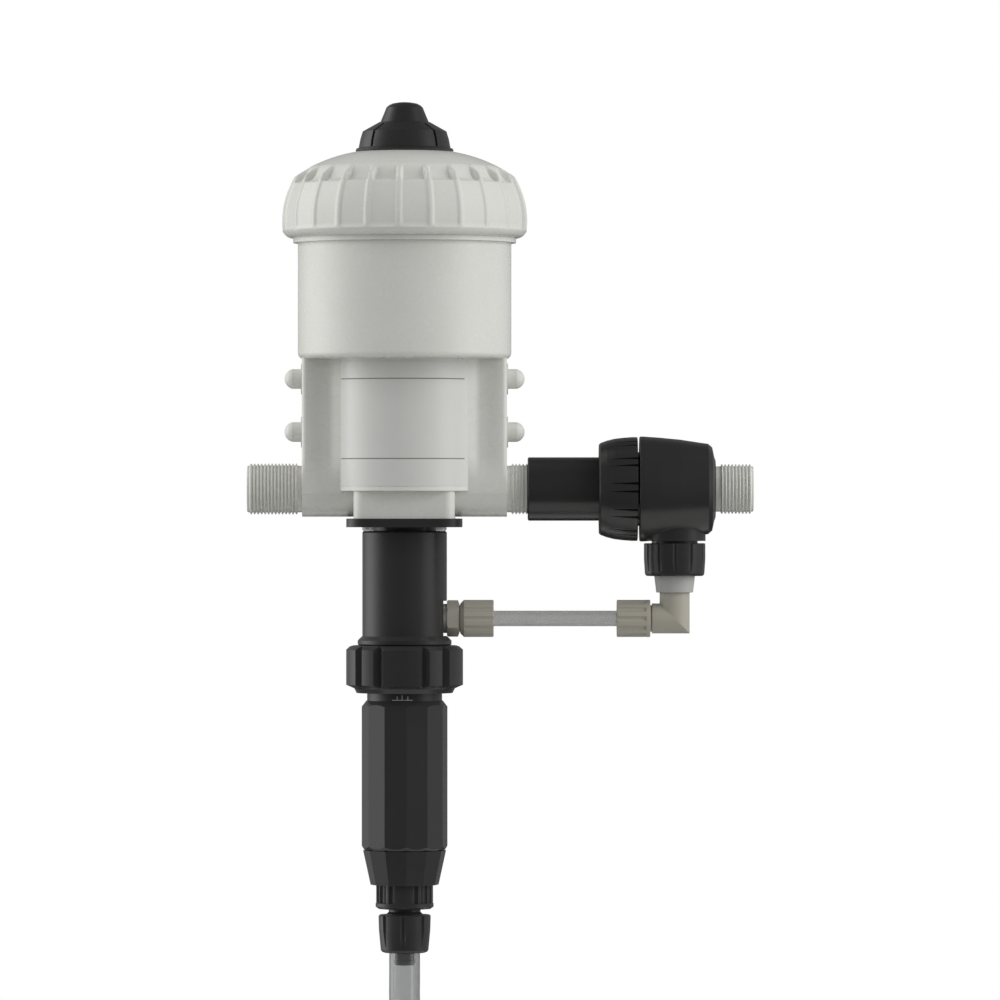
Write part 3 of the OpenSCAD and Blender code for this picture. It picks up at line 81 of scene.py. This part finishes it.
def make_camera():
    """A long lens straight in front, which takes in the photograph's frame."""
    data = bpy.data.cameras.new("camera")
    data.sensor_width = SENSOR_MM
    data.lens = SENSOR_MM * CAMERA_DISTANCE / VIEW_WIDTH
    data.clip_start, data.clip_end = 0.1, 60
    camera = bpy.data.objects.new("camera", data)
    camera.location = VIEW_CENTRE + Vector((0, -CAMERA_DISTANCE, 0))
    camera.rotation_euler = (math.pi / 2, 0, 0)
    bpy.context.scene.collection.objects.link(camera)
    bpy.context.scene.camera = camera
    bpy.context.scene.view_settings.view_transform = "Standard"


make_camera()


# Small tools for meshes and node trees


def linear(hex_colour):
    """An sRGB hex value such as "#E4E4E0" as linear red, green, blue and full alpha."""
    parts = [int(hex_colour[i : i + 2], 16) / 255 for i in (1, 3, 5)]
    return (*[c / 12.92 if c <= 0.04045 else ((c + 0.055) / 1.055) ** 2.4 for c in parts], 1.0)


def add(tree, kind, settings=None, **inputs):
    """Adds a node. settings are its properties; inputs are values or other nodes' sockets, by name or identifier."""
    made = tree.nodes.new(kind)
    for name, value in (settings or {}).items():
        setattr(made, name, value)
    for name, value in inputs.items():
        socket = made.inputs.get(name.replace("_", " ")) or next(s for s in made.inputs if s.identifier == name)
        if isinstance(value, bpy.types.NodeSocket):
            tree.links.new(value, socket)
        else:
            socket.default_value = value
    return made


def set_stops(ramp, stops):
    """Gives a colour ramp its grey levels, as pairs of place and level."""
    elements = ramp.color_ramp.elements
    while len(elements) < len(stops):
        elements.new(0.5)
    for element, (place, level) in zip(elements, stops):
        element.position = place
        element.color = (level, level, level, 1)


def piece(name, mesh, body, slot, material, *replaced):
    """Links a mesh as a piece of a body, with its material, and hides the nodes that it stands for."""
    made = bpy.data.objects.new(name, mesh)
    bpy.context.scene.collection.objects.link(made)
    mesh.materials.clear()
    mesh.materials.append(material)
    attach(made, body)
    if replaced:
        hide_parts(*replaced)
    return made


def mesh_of(name, points, faces, smooth_angle):
    """A mesh with outward normals, smooth over edges that are flatter than an angle in degrees."""
    mesh = bpy.data.meshes.new(name)
    mesh.from_pydata(points, [], faces)
    work = bmesh.new()
    work.from_mesh(mesh)
    bmesh.ops.recalc_face_normals(work, faces=work.faces)
    for face in work.faces:
        face.smooth = True
    for edge in work.edges:
        edge.smooth = len(edge.link_faces) == 2 and edge.calc_face_angle(0) < math.radians(smooth_angle)
    work.to_mesh(mesh)
    work.free()
    return mesh


def soft_step(x, low, high):
    """Rises smoothly from 0 at low to 1 at high, which may be the smaller of the two."""
    t = min(1.0, max(0.0, (x - low) / (high - low)))
    return t * t * (3 - 2 * t)


# Materials


def shader(name):
    """An empty material with its output node; returns the material, its tree and the output."""
    material = bpy.data.materials.new(name)
    material.use_nodes = True
    tree = material.node_tree
    tree.nodes.clear()
    return material, tree, add(tree, "ShaderNodeOutputMaterial")


def between(tree, noise, low, high):
    """A value that follows a noise from one bound to the other."""
    return add(tree, "ShaderNodeMapRange", Value=noise.outputs["Fac"], To_Min=low, To_Max=high).outputs["Result"]


def moulded(name, colour, shade, roughness, grain_mm=0.5, grain=0.02, edge_mm=0.35, **constants):
    """Injection-moulded plastic: a faint drift of colour, flow marks in the gloss, a fine skin and soft edges."""
    material, tree, output = shader(name)
    place = add(tree, "ShaderNodeTexCoord").outputs["Object"]
    drift = add(tree, "ShaderNodeTexNoise", Vector=place, Scale=1 / (22 * MM), Detail=3.0)
    tint = add(tree, "ShaderNodeMix", {"data_type": "RGBA"}, Factor=drift.outputs["Fac"])
    tint.inputs[6].default_value = linear(colour)
    tint.inputs[7].default_value = linear(shade)
    flow = add(tree, "ShaderNodeTexNoise", Vector=place, Scale=1 / (7 * MM), Detail=4.0, Distortion=0.6)
    gloss = between(tree, flow, roughness * 0.88, roughness * 1.14)
    skin = add(tree, "ShaderNodeTexNoise", Vector=place, Scale=1 / (grain_mm * MM), Detail=2.0)
    edge = add(tree, "ShaderNodeBevel", {"samples": 4}, Radius=edge_mm * MM)
    bump = add(
        tree,
        "ShaderNodeBump",
        Strength=1.0,
        Distance=grain * MM,
        Height=skin.outputs["Fac"],
        Normal=edge.outputs["Normal"],
    )
    surface = add(
        tree,
        "ShaderNodeBsdfPrincipled",
        Base_Color=tint.outputs[2],
        Roughness=gloss,
        Normal=bump.outputs["Normal"],
        **constants,
    )
    tree.links.new(surface.outputs["BSDF"], output.inputs["Surface"])
    return material


def clear_plastic(name, colour, roughness, clearness, depth, **constants):
    """See-through tubing: glossy, with a faint haze, and grey where light takes a long way through the wall."""
    material, tree, output = shader(name)
    place = add(tree, "ShaderNodeTexCoord").outputs["Object"]
    haze = add(tree, "ShaderNodeTexNoise", Vector=place, Scale=1 / (5 * MM), Detail=3.0)
    gloss = between(tree, haze, roughness * 0.7, roughness * 1.3)
    surface = add(
        tree,
        "ShaderNodeBsdfPrincipled",
        Base_Color=linear(colour),
        Roughness=gloss,
        Transmission_Weight=clearness,
        **constants,
    )
    tree.links.new(surface.outputs["BSDF"], output.inputs["Surface"])
    wall = add(tree, "ShaderNodeVolumeAbsorption", Color=(0, 0, 0, 1), Density=1 / (depth * MM))
    tree.links.new(wall.outputs["Volume"], output.inputs["Volume"])
    return material


def drawn_steel(name, colour, metallic, smooth, rough):
    """Steel of screws, springs and rods, bright or plated, with a gloss that varies finely."""
    material, tree, output = shader(name)
    place = add(tree, "ShaderNodeTexCoord").outputs["Object"]
    grain = add(tree, "ShaderNodeTexNoise", Vector=place, Scale=1 / (0.6 * MM), Detail=2.0)
    gloss = between(tree, grain, smooth, rough)
    surface = add(
        tree,
        "ShaderNodeBsdfPrincipled",
        Base_Color=linear(colour),
        Roughness=gloss,
        Metallic=metallic,
    )
    tree.links.new(surface.outputs["BSDF"], output.inputs["Surface"])
    return material


# Polypropylene, moulded: milky white, half gloss
WHITE = moulded("moulded_white_polypropylene", "#E3E3DE", "#DCDCD6", 0.27, IOR=1.49)
# Glass-filled polypropylene, moulded: near black, satin
BLACK = moulded("moulded_black_glass_filled_polypropylene", "#343434", "#2F2F2F", 0.25, grain=0.012, IOR=1.49)
# Polyvinylidene fluoride, moulded: waxy beige, satin
BEIGE = moulded("moulded_beige_fluoropolymer", "#B2AEA2", "#A8A498", 0.45, IOR=1.42)
# Natural polypropylene, moulded: waxy grey
GREY = moulded("moulded_natural_grey_polypropylene", "#B3B4B0", "#ABACA8", 0.42, IOR=1.49)
# Polyester film, printed: pale satin sheet on the bulge
FILM = moulded("printed_polyester_film", "#D9DAD6", "#D4D5D1", 0.3, edge_mm=0.05, IOR=1.57)
# Nitrile rubber, moulded: dull black
RUBBER = moulded("moulded_nitrile_rubber", "#161616", "#121212", 0.6, IOR=1.52)
# Stainless steel, drawn: bright and glossy
STEEL = drawn_steel("drawn_stainless_steel", "#B9B9B6", 1.0, 0.22, 0.38)
# Steel, cold headed and zinc plated: pale and satin
ZINC = drawn_steel("zinc_plated_steel", "#DCDCD8", 0.3, 0.4, 0.55)
# Print: flat grey rules on the film, and the paler marks of the scale
INK = moulded("screen_printed_grey_ink", "#8C8C8A", "#868684", 0.5, edge_mm=0.02, IOR=1.5)
MARKS = moulded("hot_stamped_pale_marks", "#A4A4A0", "#9C9C98", 0.5, edge_mm=0.02, IOR=1.5)
# Plasticised vinyl, extruded: clear, soft and glossy
CLEAR = clear_plastic("extruded_clear_vinyl", "#F4F5F5", 0.04, 0.96, 4.2, IOR=1.53)
# Polyethylene tubing, extruded: milky grey
MILKY = clear_plastic("extruded_milky_polyethylene", "#F0F0EF", 0.05, 0.94, 2.6, IOR=1.51)

# The outlet nipple is moulded in the body's white polypropylene, and the plate's screws are zinc plated
NODE_FINISHES = {"outlet_nipple": WHITE, "plate_screws": ZINC}

FINISHES = {
    "white_plastic": WHITE,
    "label_film": FILM,
    "black_plastic": BLACK,
    "beige_plastic": BEIGE,
    "grey_plastic": GREY,
    "rubber": RUBBER,
    "steel": STEEL,
    "clear_hose": CLEAR,
    "clear_tube": MILKY,
}


def dress_nodes():
    """Gives every CAD node the material of its slot."""
    for part in frame["record"]["subparts"]:
        mesh = nodes[part["node"]].data
        mesh.materials.clear()
        mesh.materials.append(NODE_FINISHES.get(part["node"], FINISHES[part["material_slot"]]))


dress_nodes()


# Suction hose: 1.5 m of 12 x 16 mm clear tube, straight down, then two hanging turns and a straight tail down to its
# strainer

HOSE_TOP = Vector((PUMP_X, 0, -241 * MM))
HOSE_R, HOSE_BORE_R = 8.0, 6.0
HOSE_IN_NUT = 11.5
COIL_R, COIL_X, COIL_PITCH, COIL_TURNS, COIL_DROP = 95.0, 5.0, 16.5, 2, 170.0
TAIL_LENGTH, TAIL_STEPS = 94.0, 8
HOSE_LEAD = [
    (0, 0, 0), (0, 0, -12), (0, 0, -25), (1.1, -0.6, -38), (4.5, -1.7, -50.7), (10, -3, -62.5),
    (17.5, -4.2, -73.2), (26.8, -5, -82.5), (37.5, -5.4, -90.3), (50, -5.4, -97.5), (62.5, -5, -104.8),
    (73.2, -4.2, -112.5), (82.5, -3.2, -121.8), (90, -2, -132.5), (95.5, -1, -144.3), (98.9, -0.3, -157),
    (100, 0, -170),
]


def hose_route(steps_in_turn=40):
    """The hose's centre line in millimetres below the nut: the listed lead, the turns and the straight tail."""
    route = [Vector(p) for p in HOSE_LEAD]
    count = COIL_TURNS * steps_in_turn
    for i in range(1, count + 1):
        a = 2 * math.pi * i / steps_in_turn
        route.append(
            Vector((COIL_X + COIL_R * math.cos(a), COIL_PITCH * i / steps_in_turn, -COIL_DROP - COIL_R * math.sin(a)))
        )
    last = route[-1]
    route += [last - Vector((0, 0, TAIL_LENGTH * i / TAIL_STEPS)) for i in range(1, TAIL_STEPS + 1)]
    return route


def smooth_line(points, spacing=4.0):
    """Points at an even spacing on the smooth curve through the given points."""
    ends = [2 * points[0] - points[1], *points, 2 * points[-1] - points[-2]]
    line = [points[0]]
    for p0, p1, p2, p3 in zip(ends, ends[1:], ends[2:], ends[3:]):
        n = max(1, round((p2 - p1).length / spacing))
        for i in range(1, n + 1):
            t = i / n
            line.append(
                0.5 * (2 * p1 + (p2 - p0) * t + (2 * p0 - 5 * p1 + 4 * p2 - p3) * t * t
                       + (3 * p1 - p0 - 3 * p2 + p3) * t ** 3)
            )
    return line


def tube(name, line, outer, inner, sides=56):
    """A hollow tube along a line in metres, with its ends closed between the two walls."""
    points, faces = [], []
    up = Vector((0, 1, 0))
    n = len(line)
    for i, at in enumerate(line):
        ahead = (line[min(i + 1, n - 1)] - line[max(i - 1, 0)]).normalized()
        side = ahead.cross(up).normalized()
        up = side.cross(ahead)
        for r in (outer, inner):
            for k in range(sides):
                a = 2 * math.pi * k / sides
                points.append(at + (side * math.cos(a) + up * math.sin(a)) * r)
    ring = 2 * sides
    for i in range(n - 1):
        for wall in (0, sides):
            for k in range(sides):
                a, b = i * ring + wall + k, i * ring + wall + (k + 1) % sides
                faces.append((a, b, b + ring, a + ring) if wall == 0 else (a, a + ring, b + ring, b))
    for i in (0, n - 1):
        for k in range(sides):
            a, b = i * ring + k, i * ring + (k + 1) % sides
            faces.append((a, a + sides, b + sides, b) if i == 0 else (a, b, b + sides, a + sides))
    return mesh_of(name, points, faces, 50)


def make_hose():
    """The whole hose as one tube, in place of the CAD's three hose nodes."""
    route = [HOSE_TOP + p * MM for p in hose_route()]
    line = smooth_line(route, 4 * MM)
    line = [HOSE_TOP + Vector((0, 0, HOSE_IN_NUT * MM * part)) for part in (1, 0.67, 0.33)] + line
    mesh = tube("clear_hose", line, HOSE_R * MM, HOSE_BORE_R * MM)
    hose = piece("clear_hose", mesh, "dosing_carriage", "clear_hose", CLEAR, "suction_hose", "hose_coil", "hose_tail")


make_hose()


# Bell: ribs with flat panels between them, open pockets in the shoulder, and a rounded lip

BELL_LOW, CROWN_Z, CROWN_R = 130.5, 175.2, 25.7
RIBS, RIB_TURN, RIB_HALF, RIB_INSET, STEPS_PER_RIB = 24, -2.0, 1.1, 0.15, 30
SHOULDER_X, SHOULDER_Z, SHOULDER_R = 21.1, 139.3, 42.8
CROWN_CURVE_X, CROWN_CURVE_Z, CROWN_CURVE_R = 12.5, 97.5, 78.8
PANEL_DEPTH, PANEL_TOP, POCKET_R, POCKET_OUT = 1.1, 158.6, 48.5, 55.0


def crown_height(r):
    """Height of the smooth dome at a radius."""
    return CROWN_CURVE_Z + math.sqrt(CROWN_CURVE_R**2 - (r - CROWN_CURVE_X) ** 2)


def shoulder_radius(z):
    """Radius of the shoulder's curve at a height."""
    return SHOULDER_X + math.sqrt(SHOULDER_R**2 - (z - SHOULDER_Z) ** 2)


def shoulder_height(r):
    """Height of the shoulder's curve at a radius."""
    return SHOULDER_Z + math.sqrt(SHOULDER_R**2 - (r - SHOULDER_X) ** 2)


def bell_rows():
    """Pairs of outline points from the lip to the crown: on a rib and on the middle of a panel."""
    lip = [(58.7, BELL_LOW), (59.9, BELL_LOW + 0.1), (61.2, BELL_LOW + 0.7), (62.2, BELL_LOW + 1.6),
           (63.0, BELL_LOW + 2.6), (63.5, BELL_LOW + 3.6)]
    rows = [(p, p) for p in lip]
    heights = [BELL_LOW + 4.4 + (PANEL_TOP - 0.5 - BELL_LOW - 4.4) * (i / 34) for i in range(35)]
    for z in heights:
        sunk = PANEL_DEPTH * soft_step(z, BELL_LOW + 2.4, BELL_LOW + 6)
        rows.append(((shoulder_radius(z) - RIB_INSET, z), (shoulder_radius(z) - sunk, z)))
    edge_r = shoulder_radius(PANEL_TOP) - PANEL_DEPTH
    ledge = [(edge_r - 0.12, PANEL_TOP - 0.1), (edge_r - 0.4, PANEL_TOP), (edge_r - 0.9, PANEL_TOP - 0.1)]
    back = edge_r - 1.5
    for i in range(24):
        r = back + (POCKET_R - back) * i / 24
        sunk = (crown_height(back) - PANEL_TOP + 0.1) * (1 - soft_step(r, POCKET_OUT, POCKET_R))
        ledge.append((r, crown_height(r) - sunk))
    start = shoulder_radius(PANEL_TOP)
    for i, p in enumerate(ledge, 1):
        r = start + (POCKET_R - start) * i / (len(ledge) + 1)
        rows.append(((r, min(shoulder_height(r), crown_height(r)) if r > 57 else crown_height(r)), p))
    for i in range(29):
        r = POCKET_R + (CROWN_R - POCKET_R) * i / 28
        rows.append(((r, crown_height(r)),) * 2)
    return rows


def make_bell():
    """One closed shell, whose outside runs from the ribs' outline to the panels' across a narrow soft flank."""
    steps = RIBS * STEPS_PER_RIB
    inside = [(CROWN_R - 16.5, CROWN_Z), (CROWN_R - 16.5, CROWN_Z - 5.6), (CROWN_R, CROWN_Z - 5.7),
              (42, CROWN_Z - 11), (48.5, PANEL_TOP - 4), (54.75, 152),
              (54.75, 131.8), (58.35, 131.8), (58.35, BELL_LOW)]
    rows = bell_rows() + [(p, p) for p in inside]
    points, faces = [], []
    for rib, panel in rows:
        for k in range(steps):
            a = 2 * math.pi * k / steps
            off = (a - math.radians(RIB_TURN) + math.pi / RIBS) % (2 * math.pi / RIBS) - math.pi / RIBS
            across = abs(off) * rib[0]
            mix = soft_step(across, RIB_HALF - 0.5, RIB_HALF + 0.9)
            away = math.pi / RIBS - abs(off)
            flat = 1 / math.cos(away) if panel != rib else 1.0
            r = rib[0] + (panel[0] * flat - rib[0]) * mix
            z = rib[1] + (panel[1] - rib[1]) * mix
            points.append((PUMP_X + r * math.cos(a) * MM, r * math.sin(a) * MM, z * MM))
    for i in range(len(rows)):
        j = (i + 1) % len(rows)
        for k in range(steps):
            n = (k + 1) % steps
            faces.append((i * steps + k, i * steps + n, j * steps + n, j * steps + k))
    return piece("bell_cover", mesh_of("bell_cover", points, faces, 32), "pump", "white_plastic", WHITE, "bell")


# Faces of the side towers: a soft hollow beside the bulge, which runs out into the port housing below

TOWER_X, TOWER_Y, TOWER_ROUND, TOWER_TOP = 53.17, 13.28, 2.2, 68.0
HOUSING_R, TOWER_BACK = 14.45, 6.0
HOLLOW_DEPTH, RISE_FROM, RISE_CURVED, RISE_BEND = 0.8, 39.5, 3.0, 0.092


def tower_front(x, z):
    """How far a tower's face stands out, at a distance from the pump's axis and a height."""
    corner = TOWER_Y - TOWER_ROUND + math.sqrt(TOWER_ROUND**2 - max(0.0, x - TOWER_X + TOWER_ROUND) ** 2)
    inward = max(0.0, RISE_FROM - x)
    curved = min(inward, RISE_CURVED)
    face = corner - HOLLOW_DEPTH * soft_step(x, 50.5, 41.0)
    face += RISE_BEND * curved * (2 * inward - curved)
    if z < 0:
        return math.sqrt(HOUSING_R**2 - z * z)
    return face + (HOUSING_R - face) * soft_step(z, 19, 2)


def make_tower_faces():
    """Four closed slabs, one on each face of the towers, that fill the channels beside the bulge."""
    across = [TOWER_X, 53.13, 53.0, 52.75, 52.4, 52.0, 51.5, 51.0, 50.5] + [50 - 0.5 * i for i in range(37)]
    heights = [-3, -2, -1, 0, 1, 2] + [3 + i for i in range(17)] + [22, 26, 32, 40, 48, 56, 64, TOWER_TOP]
    points, faces = [], []
    for sx in (-1, 1):
        for sy in (-1, 1):
            start = len(points)
            for z in heights:
                for x in across:
                    points.append((PUMP_X + sx * x * MM, sy * tower_front(x, z) * MM, z * MM))
            wide = len(across)
            rim = [start + i for i in range(wide)]
            rim += [start + j * wide + wide - 1 for j in range(1, len(heights))]
            rim += [start + (len(heights) - 1) * wide + i for i in range(wide - 2, -1, -1)]
            rim += [start + j * wide for j in range(len(heights) - 2, 0, -1)]
            back = [len(points) + i for i in range(len(rim))]
            points += [(points[i][0], sy * TOWER_BACK * MM, points[i][2]) for i in rim]
            for j in range(len(heights) - 1):
                for i in range(wide - 1):
                    a = start + j * wide + i
                    faces.append((a, a + 1, a + wide + 1, a + wide))
            for i in range(len(rim)):
                n = (i + 1) % len(rim)
                faces.append((rim[i], rim[n], back[n], back[i]))
            faces.append(back)
    piece("tower_faces", mesh_of("tower_faces", points, faces, 35), "pump", "white_plastic", WHITE)


# Plain printed marks: two rules on the film, and the ticks of the dosing scale on the stem

STEM_R = 19.5


def marks(name, radius, strokes):
    """Thin raised strokes on an upright cylinder, each from (x, z) to (x, z) on its front, in millimetres."""
    points, faces = [], []
    for x0, z0, x1, z1 in strokes:
        start, n = len(points), max(1, round((x1 - x0) / 0.8))
        for i in range(n + 1):
            turn = math.asin((x0 + (x1 - x0) * i / n) / radius)
            for r in (radius - 0.05, radius + 0.04):
                for z in (z0, z1):
                    points.append((PUMP_X + r * math.sin(turn) * MM, -r * math.cos(turn) * MM, z * MM))
        for i in range(n):
            a = start + 4 * i
            faces += [(a, a + 1, a + 5, a + 4), (a + 1, a + 3, a + 7, a + 5), (a + 3, a + 2, a + 6, a + 7),
                      (a + 2, a, a + 4, a + 6)]
        end = start + 4 * n
        faces += [(start, start + 2, start + 3, start + 1), (end, end + 1, end + 3, end + 2)]
    return mesh_of(name, points, faces, 35)


def make_marks():
    """The film's rules and the scale's base line with its ticks."""
    film_r = -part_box("label_film")[0].y / MM
    rules = [(-32.7, z, 31.2, z + 0.6) for z in (56.7, 15.4)]
    piece("label_rules", marks("label_rules", film_r, rules), "pump", "label_film", INK)
    ticks = [
        (-6.2, -109.6, 4.4, -109.2),
        (-3.8, -109.2, -3.35, -107.4),
        (-1.3, -109.2, -0.85, -106.9),
        (1.7, -109.2, 2.15, -107.4),
    ]
    piece("scale_ticks", marks("scale_ticks", STEM_R, ticks), "pump", "label_film", MARKS)


# Floor and studio light

FLOOR_GAP, FLOOR_HALF = 40 * MM, 0.5


def make_floor():
    """A plain pale floor under the hanging pump."""
    low, high = cad_box
    centre = (low + high) / 2
    z = low.z - FLOOR_GAP
    turns = ((-1, -1), (1, -1), (1, 1), (-1, 1))
    corners = [(centre.x + x * FLOOR_HALF, centre.y + y * FLOOR_HALF, z) for x, y in turns]
    mesh = bpy.data.meshes.new("floor")
    mesh.from_pydata(corners, [], [(0, 1, 2, 3)])
    floor = bpy.data.objects.new("floor", mesh)
    bpy.context.scene.collection.objects.link(floor)
    material, tree, output = shader("matt_studio_floor")
    surface = add(tree, "ShaderNodeBsdfPrincipled", Base_Color=linear("#E9E9E7"), Roughness=0.8)
    tree.links.new(surface.outputs["BSDF"], output.inputs["Surface"])
    mesh.materials.append(material)


# Brightness of the studio round the horizon, as gloss sees it: degrees from the camera's side, + to the right
GLOSS_RING = [
    (-180, 0.15), (-140, 0.35), (-120, 1.3), (-104, 1.9), (-90, 1.5), (-75, 0.7), (-60, 0.25), (-45, 0.1),
    (0, 0.02), (45, 0.12), (60, 0.45), (76, 0.65), (90, 0.45), (102, 0.25), (130, 0.25), (180, 0.15),
]
# A colour ramp holds levels up to 1, so the ring is kept in it divided by this
RING_RANGE = 2.0
LAMP_TARGET = Vector((PUMP_X + 0.04, 0, 0))


def make_world():
    """White to the camera, a dark studio with a bright left and a dimmer right for gloss, a soft fill for the rest."""
    world = bpy.data.worlds.new("studio")
    bpy.context.scene.world = world
    world.use_nodes = True
    tree = world.node_tree
    tree.nodes.clear()
    output = add(tree, "ShaderNodeOutputWorld")
    path = add(tree, "ShaderNodeLightPath")
    direction = add(tree, "ShaderNodeTexCoord").outputs["Generated"]
    part = add(tree, "ShaderNodeSeparateXYZ", Vector=direction)
    toward = add(tree, "ShaderNodeMath", {"operation": "MULTIPLY"}, Value=part.outputs["Y"], Value_001=-1.0)
    angle = add(tree, "ShaderNodeMath", {"operation": "ARCTAN2"}, Value=part.outputs["X"], Value_001=toward.outputs[0])
    turn = add(tree, "ShaderNodeMapRange", Value=angle.outputs[0], From_Min=-math.pi, From_Max=math.pi)
    ring = add(tree, "ShaderNodeValToRGB", Fac=turn.outputs["Result"])
    set_stops(ring, [((degrees + 180) / 360, level / RING_RANGE) for degrees, level in GLOSS_RING])
    rise = add(tree, "ShaderNodeMapRange", Value=part.outputs["Z"], From_Min=-1.0, From_Max=1.0)
    band = add(tree, "ShaderNodeValToRGB", Fac=rise.outputs["Result"])
    set_stops(band, [(0.29, 0.1), (0.44, 1.0), (0.74, 1.0), (0.92, 0.1)])
    height = add(
        tree, "ShaderNodeMath", {"operation": "MULTIPLY"}, Value=band.outputs["Color"], Value_001=RING_RANGE
    )
    gloss = add(tree, "ShaderNodeBackground", Color=ring.outputs["Color"], Strength=height.outputs[0])
    sky = add(tree, "ShaderNodeValToRGB", Fac=rise.outputs["Result"])
    set_stops(sky, [(0.0, 0.05), (0.42, 0.3), (0.5, 0.48), (1.0, 0.56)])
    fill = add(tree, "ShaderNodeBackground", Color=sky.outputs["Color"], Strength=1.0)
    white = add(tree, "ShaderNodeBackground", Color=(1, 1, 1, 1), Strength=1.0)
    lit = add(
        tree, "ShaderNodeMixShader", Fac=path.outputs["Is Glossy Ray"], Shader=fill.outputs[0],
        Shader_001=gloss.outputs[0],
    )
    through = add(
        tree, "ShaderNodeMath", {"operation": "MAXIMUM"}, Value=path.outputs["Is Camera Ray"],
        Value_001=path.outputs["Is Transmission Ray"],
    )
    final = add(
        tree, "ShaderNodeMixShader", Fac=through.outputs[0], Shader=lit.outputs[0], Shader_001=white.outputs[0]
    )
    tree.links.new(final.outputs[0], output.inputs["Surface"])


def softbox(name, azimuth, elevation, distance, width, height, power):
    """A soft lamp that gloss doesn't see, turned to the pump; azimuth 0 is behind the camera, 90 on the right."""
    data = bpy.data.lights.new(name, "AREA")
    data.shape = "RECTANGLE"
    data.size, data.size_y = width, height
    data.energy = power
    lamp = bpy.data.objects.new(name, data)
    lamp.visible_glossy = False
    a, e = math.radians(azimuth), math.radians(elevation)
    back = Vector((math.sin(a) * math.cos(e), -math.cos(a) * math.cos(e), math.sin(e)))
    lamp.location = LAMP_TARGET + back * distance
    lamp.rotation_mode = "QUATERNION"
    lamp.rotation_quaternion = (-back).to_track_quat("-Z", "Y")
    bpy.context.scene.collection.objects.link(lamp)


make_bell()
make_tower_faces()
make_marks()
make_floor()
make_world()
softbox("softbox_left", azimuth=-86, elevation=14, distance=1.6, width=0.9, height=1.6, power=15.2)
softbox("softbox_right", azimuth=71, elevation=14, distance=1.6, width=0.9, height=1.6, power=16.8)
